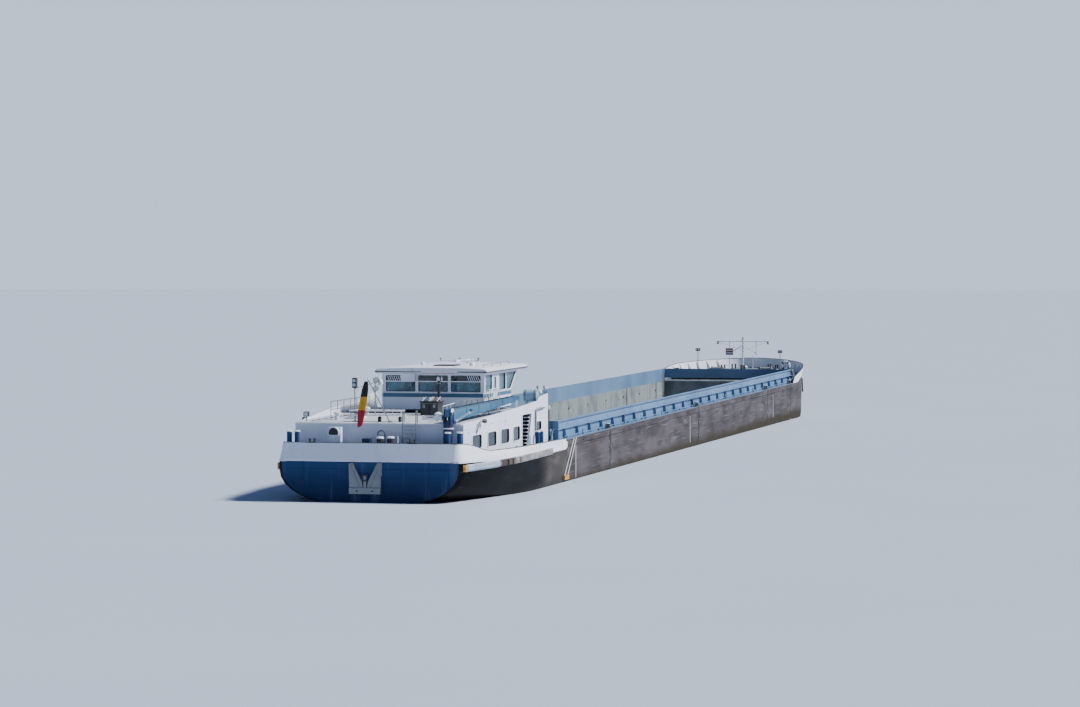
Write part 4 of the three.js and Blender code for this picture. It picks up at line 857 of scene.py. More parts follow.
WH_WINDOW_YS, WH_WINDOW_HALF = (-0.178, 0.0, 0.178), 0.082
WH_SILL_Z, WH_HEAD_Z = 0.64, 0.728
WH_SIDE_WINDOWS = [rect(-4.312, -4.18, WH_SILL_Z, WH_HEAD_Z), rect(-4.03, -3.895, WH_SILL_Z, WH_HEAD_Z),
                   [(-3.875, WH_SILL_Z), (-3.786, WH_SILL_Z), (-3.664, WH_HEAD_Z), (-3.875, WH_HEAD_Z)]]


def lean_x(z):
    """The outer face of the leaning front windows."""
    return -3.77 + 0.14 * (z - 0.632) / 0.106


def wheelhouse_side(side):
    return lambda p, d: (p[0], side * (WH_HALF + d), p[1])


def make_wheelhouse_windows():
    """Frames, gaskets, glass and blinds on all four sides."""
    frames, panes, blinds = Piece(), Piece(), Piece()
    aft, fore = ([rect(y - WH_WINDOW_HALF, y + WH_WINDOW_HALF, WH_SILL_Z + by, WH_HEAD_Z - by)
                  for y in WH_WINDOW_YS] for by in (0.0, 0.001))
    for place, openings in ((lambda p, d: (WH_AFT_X - d, *p), aft),
                            (lambda p, d: (lean_x(p[1]) + d, *p), fore),
                            (wheelhouse_side(1), WH_SIDE_WINDOWS), (wheelhouse_side(-1), WH_SIDE_WINDOWS)):
        for outline in openings:
            frames.ring(softened(inset(outline, -0.004), 0.01), softened(inset(outline, 0.0005), 0.007),
                        place, 0.0004, 0.002, "white")
            frames.ring(inset(outline, 0.0006), inset(outline, 0.003), place, -0.0035, 0.0, "black")
            panes.prism(inset(outline, 0.001), place, -0.005, -0.0038, "glass")
    # The aft windows have a bar across, dark upper lights, and slanting sun slats over parts of them
    for y, slats in zip(WH_WINDOW_YS, ((0, 6), (5, 5), (4, 13))):
        frames.box((WH_AFT_X - 0.0018, y - 0.0815, 0.6925), (WH_AFT_X + 0.003, y + 0.0815, 0.6975), "white")
        panes.box((WH_AFT_X + 0.0026, y - 0.0788, 0.6976), (WH_AFT_X + 0.0036, y + 0.0788, 0.7248),
                  "dark_glass")
        for k in range(*slats):
            edge = y - 0.066 + k * 0.0115
            slat = [(edge, 0.7245), (edge + 0.003, 0.7245), (edge - 0.008, 0.6985), (edge - 0.011, 0.6985)]
            blinds.prism(slat, lambda p, d: (WH_AFT_X + d, *p), 0.0002, 0.0016, "white")
        blinds.box((WH_AFT_X + 0.0075, y - 0.079, 0.728), (WH_AFT_X + 0.014, y + 0.079, 0.7345), "blind")
    for side in (1, -1):
        for x0, x1 in ((-4.31, -4.182), (-4.028, -3.897)):
            for k in range(5):
                z = 0.7085 + k * 0.0038
                blinds.box((x0, side * (WH_HALF - 0.0125), z), (x1, side * (WH_HALF - 0.009), z + 0.0022),
                           "blind")
    frames.make("wheelhouse_window_frames", "white_paint", "wheelhouse")
    panes.make("wheelhouse_glass", "dark_paint", "wheelhouse")
    blinds.make("wheelhouse_blinds", "white_paint", "wheelhouse")


def make_wheelhouse_trim():
    """The band under the windows, then the roof's drip edge, hand rail, wipers and aerials."""
    band = Piece()
    band.box((WH_AFT_X - 0.0032, -0.2735, 0.612), (WH_AFT_X - 0.0003, 0.2735, 0.633), "teal")
    band.tube([(WH_AFT_X - 0.0042, y, 0.6345) for y in (-0.276, 0.276)], 0.0022, "white")
    for y in (-0.27, -0.089, 0.089, 0.27):
        band.box((WH_AFT_X - 0.003, y - 0.0035, 0.549), (WH_AFT_X - 0.0003, y + 0.0035, 0.6118), "house")
    for side, runs in ((1, ((-4.328, -3.772),)), (-1, ((-4.328, -4.154), (-4.074, -3.772)))):
        for x0, x1 in runs:
            band.box((x0, side * (WH_HALF + 0.0003), 0.612), (x1, side * (WH_HALF + 0.0028), 0.63), "teal")
    band.make("wheelhouse_sill_band", "boom_blue", "wheelhouse")

    roof = Piece()
    edge = rect(-4.382, -3.498, -0.3045, 0.3045)
    roof.tube([(x, y, 0.7465) for x, y in edge], 0.003, "dark", closed=True)
    rail_y, skin = -0.24, 0.767
    roof.tube([(-4.2, rail_y, 0.78), (-3.66, rail_y, 0.78)], 0.0022, "steel")
    for x in (-4.2, -4.02, -3.84, -3.66):
        roof.post(x, rail_y, 0.764, 0.78, 0.002, "steel")
    dome = [(0, 0.016), (0.01, 0.016), (0.018, 0.012), (0.022, 0.004)]
    roof.turned(dome, (-4.02, -0.13, skin), UP, "white")
    roof.turned([(0, 0.01), (0.012, 0.01), (0.016, 0.006)], (-3.9, 0.18, skin), UP, "white")
    foot = 0.7625
    for x, y, top in ((-4.33, -0.235, 0.8), (-4.33, 0.235, 0.797), (-3.72, 0.22, 0.795)):
        aerial = [(0, 0.005), (0.008, 0.0045), (0.01, 0.0016), (top - foot, 0.0008)]
        roof.turned(aerial, (x, y, foot), UP, "white", 8)
    for y in (-0.1, 0.03, 0.16):
        wiper = [(-3.64, y, 0.736), (lean_x(0.7) + 0.004, y - 0.02, 0.7),
                 (lean_x(0.665) + 0.004, y - 0.045, 0.665)]
        roof.tube(wiper, 0.0013, "black")
    roof.box((-4.1, -0.055, 0.7685), (-3.98, 0.065, 0.7735), "dark")
    roof.make("wheelhouse_roof_gear", "white_paint", "wheelhouse")


def make_helm():
    """The console's screens and levers, a fire extinguisher, and the seat's arms."""
    desk = Piece()
    for y in (-0.145, -0.048, 0.048, 0.145):
        desk.prism([(-3.842, 0.6205), (-3.836, 0.6205), (-3.822, 0.656), (-3.828, 0.658)], "y",
                   y - 0.04, y + 0.04, "black")
        desk.prism([(-3.8432, 0.6235), (-3.842, 0.6235), (-3.83, 0.6545), (-3.8312, 0.6545)], "y",
                   y - 0.036, y + 0.036, "glass")
    for y in (-0.06, -0.02, 0.02, 0.06):
        desk.tube([(-3.876, y, 0.617), (-3.88, y, 0.632)], 0.0018, "chrome")
        desk.turned([(0, 0.0035), (0.005, 0.0042), (0.008, 0.0025)], (-3.88, y, 0.63), UP, "black", 10)
    for y in (-0.16, 0.16):
        desk.box((-3.915, y - 0.025, 0.6182), (-3.895, y + 0.025, 0.622), "grey")
    bottle = [(0, 0.009), (0.045, 0.009), (0.05, 0.004), (0.056, 0.004)]
    desk.turned(bottle, (-4.3, -0.25, 0.5475), UP, "red", 14)
    desk.make("helm_console_fittings", "dark_paint", "wheelhouse")

    seat = Piece()
    seat.prism(rounded(-0.0255, 0.0255, 0.6005, 0.6085, 0.004), "x", -4.017, -3.964, "dark")
    for y in (-0.031, 0.031):
        seat.tube([(-4.01, y, 0.6), (-4.008, y, 0.624), (-3.97, y, 0.626)], 0.0028, "black", 8)
    seat.make("helm_seat_arms", "dark_paint", "wheelhouse", bevel=0.0008)


def make_doors():
    """The window and handle of the wheelhouse's door, then the rim, porthole and handle of the house's."""
    def handle(piece, face, x, reach, z, foot, out, radius):
        piece.tube([face((x, z), foot), face((x, z), out), face((x + reach, z), out)], radius, "chrome", 8)

    door, face = Piece(), wheelhouse_side(-1)
    light = rect(-4.138, -4.09, WH_SILL_Z, 0.714)
    door.ring(inset(light, -0.003), inset(light, 0.0008), face, 0.0003, 0.0016, "white")
    door.prism(inset(light, 0.0008), face, -0.0032, -0.002, "glass")
    handle(door, face, -4.086, -0.014, 0.615, 0.0005, 0.0045, 0.0016)
    door.make("wheelhouse_door_fittings", "white_paint", "wheelhouse_door")

    door, face = Piece(), on_wall(1)
    x0, x1, z0, z1 = -4.3, -4.2215, 0.38, 0.51
    door.ring(rounded(x0 + 0.006, x1 - 0.006, z0 + 0.006, z1 - 0.006, 0.01),
              rounded(x0 + 0.009, x1 - 0.009, z0 + 0.009, z1 - 0.009, 0.008), face, 0.0003, 0.0012, "white")
    porthole = ((x0 + x1) / 2, HOUSE_HALF, 0.478)
    door.turned([(0.0003, 0.015), (0.0022, 0.015), (0.0026, 0.012)], porthole, PORT, "white")
    door.turned([(0.0026, 0.0118), (0.003, 0.0116)], porthole, PORT, "dark_glass")
    handle(door, face, x0 + 0.01, 0.014, 0.44, 0.0004, 0.004, 0.0015)
    door.make("house_door_fittings", "white_paint", "house_door")


# Crane: flanges, hoses and sheave of the boom, fittings of its column and ram

CRANE_Y = -0.375
BOOM_FOOT_X, BOOM_TIP_X = -5.335, -4.03


def boom_low(x):
    return 0.539 + 0.047 * (x - BOOM_FOOT_X) / (BOOM_TIP_X - BOOM_FOOT_X)


def boom_high(x):
    return 0.6 + 0.008 * (x - BOOM_FOOT_X) / (BOOM_TIP_X - BOOM_FOOT_X)


def make_crane():
    """The boom's flanges, lifting plates, hoses and sheave, then the column's and the ram's fittings."""
    boom = Piece()
    for level, lift in ((boom_high, 0.0), (boom_low, -0.0006)):
        rings = []
        for x in (-5.333, -4.7, BOOM_TIP_X + 0.001):
            z = level(x) + lift
            rings.append([(x, *p) for p in rect(CRANE_Y - 0.0185, CRANE_Y + 0.0185, z, z + 0.0022)])
        boom.loft(rings, "teal")
    for x in (-5.1, -4.86, -4.62, -4.38, -4.16):
        for side in (1, -1):
            y = CRANE_Y + side * 0.0162
            boom.box((x - 0.0012, y, boom_low(x) + 0.002),
                     (x + 0.0012, y + side * 0.0016, boom_high(x) - 0.001), "teal")
    for y in (CRANE_Y - 0.006, CRANE_Y + 0.006):
        hose = [(x, y, boom_high(x) + lift) for x, lift in ((-5.3, 0.004), (-4.75, 0.0044), (-4.1, 0.004))]
        boom.tube(hose, 0.0018, "black")
    for x in (-5.2, -4.95, -4.7, -4.45, -4.2):
        z = boom_high(x)
        boom.block((x, CRANE_Y), (0.003, 0.011), z + 0.002, z + 0.0072, "steel")
    for side in (1, -1):
        y = CRANE_Y + side * 0.0105
        boom.box((-4.03, y - 0.002, 0.584), (-4.008, y + 0.002, 0.606), "teal")
    sheave = (-4.014, CRANE_Y, 0.596)
    groove = [(-0.0105, 0.01), (-0.004, 0.007), (0.004, 0.007), (0.0105, 0.01)]
    boom.turned(groove, sheave, PORT, "dark", 18)
    boom.disc(0.003, -0.0135, 0.0135, sheave, PORT, "chrome", 12)
    boom.make("crane_boom_fittings", "boom_blue", "boom")

    horn = Piece()
    column_x = -5.38
    horn.turned([(0, 0.015), (0.004, 0.0155), (0.03, 0.0085), (0.046, 0.0035), (0.05, 0.001)],
                (column_x, -0.3455, 0.56), PORT, "white", 24)
    horn.tube([(column_x, -0.356, 0.56), (column_x, -0.3452, 0.56)], 0.005, "navy", 8)
    for z in (0.375, 0.38):
        horn.disc(0.03, 0, 0.0035, (column_x, CRANE_Y, z), UP, "navy", 24)
    horn.disc(0.0268, 0, 0.006, (column_x, CRANE_Y, 0.505), UP, "white", 24)
    for side in (1, -1):
        horn.turned([(0, 0.0085), (side * 0.0028, 0.0085), (side * 0.004, 0.006)],
                    (-5.385, CRANE_Y + side * 0.0193, 0.583), PORT, "steel", 6)
    horn.prism(rect(-5.404, -5.357, 0.588, 0.6045), "y", CRANE_Y - 0.0215, CRANE_Y - 0.0192, "white")
    horn.tube([(-5.357, -0.351, 0.4), (-5.353, -0.349, 0.46), (-5.356, -0.352, 0.528)], 0.0018, "black")
    horn.make("crane_column_fittings", "crane_navy", "crane")

    ram = Piece()
    axis = Vector((0.342, 0, 0.041)).normalized()
    foot = Vector((-5.372, -0.409, 0.541))
    for at in (0.004, 0.246):
        ram.disc(0.0074, 0, 0.007, foot + axis * at, axis, "white")
    pipe = [foot + axis * at + Vector((0, y, 0.004))
            for at, y in ((0.02, -0.006), (0.12, -0.0072), (0.23, -0.006))]
    ram.tube(pipe, 0.0012, "steel")
    ram.make("crane_ram_fittings", "coaming_blue", "ram_barrel")


# Stern. The transom's plane, and the lean of the anchor's plate below it.

TRANSOM_X = -5.482
ANCHOR_Y = 0.02
PLATE_LEAN = 0.07 * 0.16


def make_stern():
    """Seams and marks of the transom, the stern anchor's fittings, and the cowl's rim."""
    seams = Piece()
    for y in (0.342, -0.305):
        seams.post(TRANSOM_X - 0.0004, y, 0.205, 0.348, 0.0011, "navy")
        seams.tube([(TRANSOM_X - 0.0012, y, 0.352), (TRANSOM_X + 0.0155, y, 0.43)], 0.001, "house")
    for half, z, radius in ((0.428, 0.342, 0.0016), (0.426, 0.308, 0.0009)):
        seams.tube([(TRANSOM_X - 0.0004, -half, z), (TRANSOM_X - 0.0004, half, z)], radius, "navy")
    seams.box((TRANSOM_X - 0.0045, -0.065, 0.276), (TRANSOM_X - 0.0003, -0.057, 0.34), "strake")
    for y in (0.43, 0.395, -0.385, -0.424):
        seams.box((TRANSOM_X - 0.0015, y - 0.01, 0.3535), (TRANSOM_X + 0.0005, y + 0.01, 0.362), "house")
    seams.make("transom_trim", "hull_navy")

    anchor = Piece()
    face = TRANSOM_X - 0.0003 - PLATE_LEAN
    shank = face - PLATE_LEAN * 0.2
    loop = [(shank - 0.003, ANCHOR_Y + 0.0125 * math.cos(t), 0.266 + 0.0145 * math.sin(t))
            for t in turns(20)]
    anchor.tube(loop, 0.0028, "dark", 8, closed=True)
    anchor.disc(0.0032, -0.0165, 0.0165, (shank - 0.0015, ANCHOR_Y, 0.279), PORT, "dark", 10)
    for side in (1, -1):
        at = (face - PLATE_LEAN * 0.62, ANCHOR_Y + side * 0.04, 0.201)
        anchor.turned([(0, 0.0075), (-0.0014, 0.0068)], at, AHEAD, "grey", 18)
        # A black disc in each boss is painted shade for the dark of its opening
        anchor.turned([(-0.0014, 0.0048), (-0.0018, 0.0046)], at, AHEAD, "black", 16)
        rib = [(face, ANCHOR_Y + side * y, z) for y, z in ((0.026, 0.218), (0.062, 0.3), (0.072, 0.334))]
        anchor.tube(rib, [0.003, 0.0026, 0.0012], "grey")
    anchor.box((face - 0.0045, ANCHOR_Y - 0.07, 0.187), (face - 0.0002, ANCHOR_Y + 0.07, 0.1925), "grey")
    anchor.make("stern_anchor_fittings", "winch_grey", bevel=0.0005)

    cowl = Piece()
    x, y, z = -5.414, 0.205, 0.482

    def mouth(point, depth):
        return (x - depth, *point)

    cowl.ring(circle(y, z, 0.0285, 28), circle(y, z, 0.025, 28), mouth, -0.004, 0.006, "house")
    # A black disc inside the rim is painted shade for the vent's dark mouth
    cowl.prism(circle(y, z, 0.0252, 28), mouth, 0.0002, 0.001, "black")
    cowl.disc(0.029, 0, 0.0035, (-5.398, y, 0.4815), AHEAD, "house", 28)
    cowl.box((-5.3965, 0.1725, 0.352), (-5.3615, 0.2375, 0.358), "house")
    for dy in (-0.02, 0.02):
        cowl.disc(0.002, 0, 0.0022, (-5.3945, y + dy, 0.43), (-1, 0, 0), "steel", 6)
    cowl.make("cowl_fittings", "white_paint")


def make_aft_deck_gear():
    """Gear stowed behind the stern bulwark, then chocks, drains, vents and lids."""
    # Box, capped drums, an arched grab bar and a short post
    gear = Piece()
    foot = 0.352
    gear.box((-5.43, 0.014, 0.402), (-5.395, 0.054, 0.456), "navy")
    for y, top in ((-0.034, 0.459), (-0.088, 0.461)):
        gear.disc(0.0175, 0, top - foot, (-5.41, y, foot), UP, "dark", 18)
        gear.turned([(0, 0.019), (0.006, 0.019), (0.01, 0.014)], (-5.41, y, top - 0.004), UP, "white", 18)
    arch = [(-5.39, -0.034 + 0.018 * math.cos(t), 0.476 + 0.018 * math.sin(t)) for t in turns(16)[:9]]
    gear.tube([(-5.39, -0.016, foot)] + arch + [(-5.39, -0.052, foot)], 0.003, "navy", 8)
    gear.turned([(0, 0.006), (0.112, 0.006), (0.118, 0.002)], (-5.43, -0.128, foot), UP, "strake", 12)
    gear.make("stern_deck_gear", "crane_navy", bevel=0.0006)

    # Mooring chocks on the bulwark's rail, then what stands on the aft deck
    deck = Piece()
    roller = [(0, 0.0055), (0.016, 0.0055), (0.018, 0.0075), (0.021, 0.007)]
    for x, y in ((-5.4625, 0.3), (-5.4625, -0.215)):
        for side in (-1, 1):
            deck.turned(roller, (x, y + side * 0.012, 0.435), UP, "dark", 14)
        deck.block((x, y), (0.008, 0.024), 0.4335, 0.4375, "dark")
    for x, y in ((-5.43, 0.15), (-5.35, -0.25), (-5.37, 0.06)):
        deck.turned([(0, 0.013), (0.002, 0.013), (0.003, 0.0105)], (x, y, DECK_SKIN), UP, "steel", 18)
    vent = [(0, 0.006), (0.02, 0.005), (0.024, 0.009), (0.029, 0.0095), (0.033, 0.005)]
    for x, y in ((-5.1, -0.505), (-4.9, 0.53), (-4.62, -0.53), (-4.45, 0.53), (-4.3, 0.53)):
        deck.turned(vent, (x, y, DECK_SKIN), UP, "white", 14)
    for x in (-4.7, -4.56):
        deck.turned([(0, 0.0105), (0.018, 0.0105), (0.024, 0.007)], (x, -0.52, DECK_SKIN), UP, "black", 14)
        deck.disc(0.0112, 0.006, 0.009, (x, -0.52, DECK_SKIN), UP, "white", 14)
    deck.make("aft_deck_fittings", "dark_paint")


# Hull sides, side decks and hold

def make_strake_facing(side, label):
    """Timber block at the strake's aft end, a facing forward of it, and rubbed plates at the quarter."""
    block = [(-5.463, 0.4715), (-5.435, 0.481), (-5.435, 0.4885), (-5.456, 0.4835)]
    facing = [(-5.43, 0.4812), (-5.3, 0.5075), (-5.08, 0.5405), (-4.96, 0.552)]
    section = [(0.0068, 0.3035), (0.0092, 0.306), (0.0092, 0.3265), (0.0068, 0.329)]
    quarter = [(-5.08, 0.54), (-4.88, 0.56), (-4.68, 0.569)]
    piece = Piece()
    piece.prism([(x, side * y) for x, y in block], "z", 0.3, 0.333, "timber")
    piece.loft([[(x, side * (y + out), z) for out, z in section] for x, y in facing], "strake")
    for x in (-4.9, -4.82, -4.7):
        y = table_read(quarter, x)
        piece.box((x - 0.026, side * (y + 0.006), 0.302), (x + 0.022, side * (y + 0.0098), 0.329), "rubbed")
    piece.make(f"strake_facing_{label}", "strake_grey", bevel=0.0006)


def make_hull_side_fittings(side, label):
    """Rubbing rail, berth recesses with black plates of painted shade and their bollards, draught marks, and
    scuppers as black discs of painted shade.
    """
    def out(by):
        return side * (HALF_BEAM + by)

    piece = Piece()
    ends = (HOLD_AFT_X - 0.01, SIDE_DECK_FORE_X - 0.01)
    piece.tube([(x, out(0.0004), 0.3575) for x in ends], 0.003, "rail", 8)
    for x in BERTH_XS:
        for z in (0.172, 0.262):
            piece.ring(square(x, z, 0.016, 0.006), square(x, z, 0.012, 0.004), "y", out(-0.0005),
                       out(0.0022), "rail")
            # A black plate inside each frame is painted shade for the dark depth of the recess
            piece.prism(square(x, z, 0.0122, 0.004), "y", out(0.0001), out(0.0008), "black")
            piece.disc(0.0046, 0, side * 0.003, (x, out(0.0004), z - 0.002), PORT, "grey", 12)
        for z in (0.12, 0.215, 0.3):
            piece.box((x - 0.03, out(-0.0005), z), (x - 0.0265, out(0.0022), z + 0.045), "rail")
    for x in (-3.483, -0.214, 3.046):
        piece.box((x - 0.006, out(0.0001), 0.14), (x + 0.006, out(0.0012), 0.312), "mark")
    # Scuppers: black discs of painted shade in place of the openings
    for k in range(13):
        piece.prism(circle(-3.3 + k * 0.6, 0.338, 0.004, 10), "y", out(-0.0004), out(0.003), "black")
    piece.make(f"hull_side_fittings_{label}", "hull_grey")


def make_hull_sides():
    for side, label in SIDES:
        make_strake_facing(side, label)
        make_hull_side_fittings(side, label)


def make_side_decks():
    """Blue side decks with a pipe run, vents, lids and berth gear along the coamings."""
    frame_pitch = HOLD_LENGTH / HOLD_FRAMES
    paint, foot = 0.3601, 0.3604
    lid = [(0, 0.0085), (0.0025, 0.0085), (0.0032, 0.007)]
    roller = [(0, 0.0062), (0.014, 0.005), (0.017, 0.0078), (0.02, 0.006)]
    for side, label in SIDES:
        piece = Piece()
        for k in range(HOLD_FRAMES):
            x = HOLD_AFT_X + k * HOLD_LENGTH / HOLD_FRAMES
            if x + frame_pitch < SIDE_DECK_FORE_X:
                piece.box((x + 0.004, side * 0.5125, paint), (x + frame_pitch - 0.004, side * 0.57, 0.3608),
                          "blue")
        piece.make(f"side_deck_paint_{label}", "coaming_blue")

        piece = Piece()
        y = side * 0.5375
        piece.tube([(-3.6, y, 0.37), (4.0, y, 0.37)], 0.0026, "blue", 8)
        for k in range(20):
            piece.block((-3.55 + k * 0.395, y), (0.003, 0.0045), 0.3602, 0.3722, "rail")
        for k in range(12):
            piece.turned(lid, (-3.46 + k * 0.64, side * 0.556, 0.3606), UP, "steel", 16)
        for k in range(7):
            x, y = -3.2 + k * 1.1, side * 0.547
            piece.tube([(x, y, foot), (x, y, 0.386), (x + 0.008, y, 0.392), (x + 0.016, y, 0.386)],
                       0.0032, "blue", 8)
        piece.make(f"side_deck_pipes_{label}", "coaming_blue")

        piece = Piece()
        for x in BERTH_XS:
            piece.box((x - 0.06, side * 0.548, foot), (x + 0.06, side * 0.564, 0.364), "dark")
            piece.disc(0.0128, 0, 0.003, (x, side * 0.555, 0.388), UP, "white", 16)
            for dx in (-0.04, 0.04):
                piece.turned(roller, (x + dx, side * 0.556, 0.364), UP, "dark", 12)
        piece.make(f"berth_fittings_{label}", "dark_paint")

        # Bead along the coaming's top, doublers where the stays meet it, and hand grips
        piece = Piece()
        piece.tube([(x, side * (HOLD_HALF + 0.0135), 0.456) for x in (HOLD_AFT_X, HOLD_FORE_X)],
                   0.0026, "blue", 8)
        for k in range(HOLD_FRAMES):
            x = HOLD_AFT_X + (k + 0.5) * HOLD_LENGTH / HOLD_FRAMES
            piece.box((x - 0.007, side * 0.512, 0.361), (x + 0.007, side * 0.533, 0.3632), "blue")
        for k in range(16):
            x = -3.43 + k * 0.49
            grip = [(x + dx, side * y, 0.43)
                    for dx, y in ((0, 0.5112), (0, 0.517), (0.018, 0.517), (0.018, 0.5112))]
            piece.tube(grip, 0.0012, "steel")
        piece.make(f"coaming_fittings_{label}", "coaming_blue")


def make_hold_fittings():
    """Ladders, lashing eyes and seams of the side plating inside the hold."""
    piece = Piece()
    half = 0.018
    for x in (-3.6, 0.2, 4.16):
        for side in (1, -1):
            y = side * (HOLD_HALF - 0.008)
            for dx in (-half, half):
                piece.post(x + dx, y, 0.062, 0.454, 0.0022, "steel")
            for k in range(13):
                z = 0.085 + k * 0.028
                piece.tube([(x - half, y, z), (x + half, y, z)], 0.0016, "steel")
            for z in (0.075, 0.25, 0.44):
                for dx in (-half, half):
                    piece.tube([(x + dx, y, z), (x + dx, side * (HOLD_HALF - 0.0003), z)], 0.0018, "steel")
    piece.make("hold_ladders", "galvanised")
    for side, label in SIDES:
        piece = Piece()
        skin = side * (HOLD_HALF - 0.0002)
        for k in range(27):
            x = -3.55 + k * 0.2965
            piece.post(x, skin, 0.07, 0.356, 0.0011, "wall")
            if k % 2:
                piece.tube(hoop("y", side * (HOLD_HALF - 0.003), x, 0.3, 0.007, 10), 0.0014, "dark",
                           closed=True)
        for z in (0.15, 0.25):
            piece.tube([(x, skin, z) for x in (HOLD_AFT_X + 0.01, HOLD_FORE_X - 0.01)], 0.001, "wall")
        piece.box((HOLD_AFT_X + 0.004, side * 0.486, 0.0602), (HOLD_FORE_X - 0.004, side * 0.5045, 0.064),
                  "wall")
        piece.make(f"hold_side_fittings_{label}", "hold_paint")


# Roof, stair and wall fittings of the deckhouse

def make_stair():
    """White nosings along each tread's aft and outer edges, and a grab rail up the casing."""
    piece = Piece()
    for k in range(8):
        x, z = -4.222 + 0.008 * k, 0.351 + 0.019 * (k + 1)
        low, high = z - 0.0034, z + 0.001
        piece.box((x - 0.0022, -0.475, low), (x + 0.002, -0.4118, high), "white")
        piece.box((x - 0.0022, -0.4756, low), (x + 0.023, -0.4736, high), "white")
    rail = ((-4.25, 0.4), (-4.25, 0.44), (-4.2, 0.59), (-4.18, 0.59), (-4.18, 0.531))
    piece.tube([(x, -0.418, z) for x, z in rail], 0.0022, "white", 8)
    piece.make("stair_nosings", "white_paint")


def make_wall_fittings():
    """Flood lamps on bent stems, a drain pipe, and wall vents."""
    for side, label in SIDES:
        piece, wall = Piece(), on_wall(side)
        piece.tube([wall((-5.124, 0.478), 0.004), wall((-5.124, 0.505), 0.01), wall((-5.112, 0.524), 0.013),
                    wall((-5.075, 0.532), 0.013)], 0.0042, "grey", 8)
        piece.box(wall((-5.132, 0.47), -0.001), wall((-5.116, 0.486), 0.004), "grey")
        lamp, beam = wall((-5.075, 0.53), 0.013), (1, side * 0.5, -0.05)
        piece.turned([(0, 0.005), (0.01, 0.01), (0.024, 0.0118), (0.026, 0.0118)], lamp, beam, "dark", 16)
        piece.turned([(0.0262, 0.0105), (0.027, 0.01)], lamp, beam, "lamp", 16)
        pipe = ((-4.062, 0.395), (-4.062, 0.525), (-4.056, 0.5345), (-4.044, 0.5385), (-3.873, 0.5415))
        piece.tube([wall(p, 0.006) for p in pipe], 0.0052, "grey", 10)
        for p, axis in (((-4.062, 0.42), UP), ((-4.062, 0.5), UP), ((-3.96, 0.54), AHEAD)):
            piece.disc(0.0066, 0, 0.004, wall(p, 0.006), axis, "grey", 10)
        for p in ((-5.24, 0.484), (-4.88, 0.512), (-4.66, 0.512)):
            piece.turned([(0.0004 * side, 0.0078), (0.003 * side, 0.007)], wall(p, 0.0), PORT, "house", 16)
        piece.make(f"wall_fittings_{label}", "winch_grey")


def tube_frame(piece, corners, radius, finish, rungs=0):
    """A closed tube frame with evenly spaced rungs between its long sides."""
    piece.tube(corners, radius, finish, closed=True)
    a, b, c, d = (Vector(p) for p in corners)
    for k in range(1, rungs + 1):
        t = k / (rungs + 1)
        piece.tube([a.lerp(b, t), d.lerp(c, t)], radius * 0.8, finish)


def make_gangway():
    """The gangway stowed across the roof's aft part, on its two wheels."""
    piece = Piece()
    aft, fore, port, starboard, top = -5.275, -5.215, 0.166, -0.103, 0.586
    tube_frame(piece, [(fore, port, top), (fore, starboard, top), (aft, starboard, top), (aft, port, top)],
               0.0038, "white", 9)
    foot = 0.564
    tube_frame(piece, [(aft, port, foot), (aft, starboard, foot), (aft, starboard, top), (aft, port, top)],
               0.003, "white", 5)
    piece.box((-5.268, -0.098, 0.5745), (-5.222, 0.162, 0.579), "dark")
    for y in (0.011, -0.095):
        wheel = (-5.268, y, 0.544)
        piece.disc(0.0135, -0.006, 0.006, wheel, PORT, "black", 18)
        piece.disc(0.006, -0.0066, 0.0066, wheel, PORT, "steel", 12)
        piece.post(-5.268, y, 0.544, 0.57, 0.003, "white")
    for y in (0.15, -0.085):
        piece.post(-5.222, y, ROOF_FOOT, 0.575, 0.003, "white")
    piece.make("gangway", "white_paint")


def make_roof_lamps():
    """Corner lamp, lamp box on its pole, and a pair of lamps on a second pole."""
    piece = Piece()
    piece.post(-5.31, 0.379, ROOF_FOOT, 0.556, 0.003, "steel", 8)
    piece.prism(rounded(0.366, 0.392, 0.556, 0.58, 0.004), "x", -5.322, -5.302, "dark")
    piece.prism(rounded(0.369, 0.389, 0.559, 0.577, 0.003), "x", -5.3232, -5.322, "lamp")
    (x, y), second = (-5.26, 0.142), (-4.68, 0.212)
    piece.post(x, y, ROOF_FOOT, 0.7, 0.0032, "steel", 8)
    piece.disc(0.012, 0, 0.004, (x, y, ROOF_FOOT), UP, "steel", 14)
    piece.prism(rounded(0.131, 0.153, 0.697, 0.749, 0.004), "x", -5.272, -5.248, "dark")
    for z in (0.735, 0.713):
        piece.turned([(0, 0.0088), (0.002, 0.008)], (-5.274, y, z), AHEAD, "lamp", 16)
    piece.post(*second, ROOF_FOOT, 0.708, 0.0034, "steel", 8)
    piece.disc(0.012, 0, 0.004, (*second, ROOF_FOOT), UP, "steel", 14)
    piece.tube([(-5.245, 0.142, 0.695), (-4.69, 0.212, 0.702)], 0.0016, "dark")
    for z, size in ((0.715, 0.015), (0.671, 0.0135)):
        at, beam = (-4.69, 0.205, z), (-1, -0.2, 0)
        piece.turned([(-0.016, size * 0.5), (-0.01, size), (0.012, size), (0.016, size * 0.8)], at, beam,
                     "dark", 16)
        piece.turned([(0.0161, size * 0.85), (0.0168, size * 0.8)], at, beam, "lamp", 16)
    dome = (-4.66, 0.19, 0.69)
    piece.turned([(0, 0.012), (0.012, 0.0135), (0.022, 0.0105), (0.028, 0.003)], dome, UP, "white", 16)
    piece.tube([(*second, 0.69), dome], 0.003, "white")
    piece.make("roof_lamps", "dark_paint")


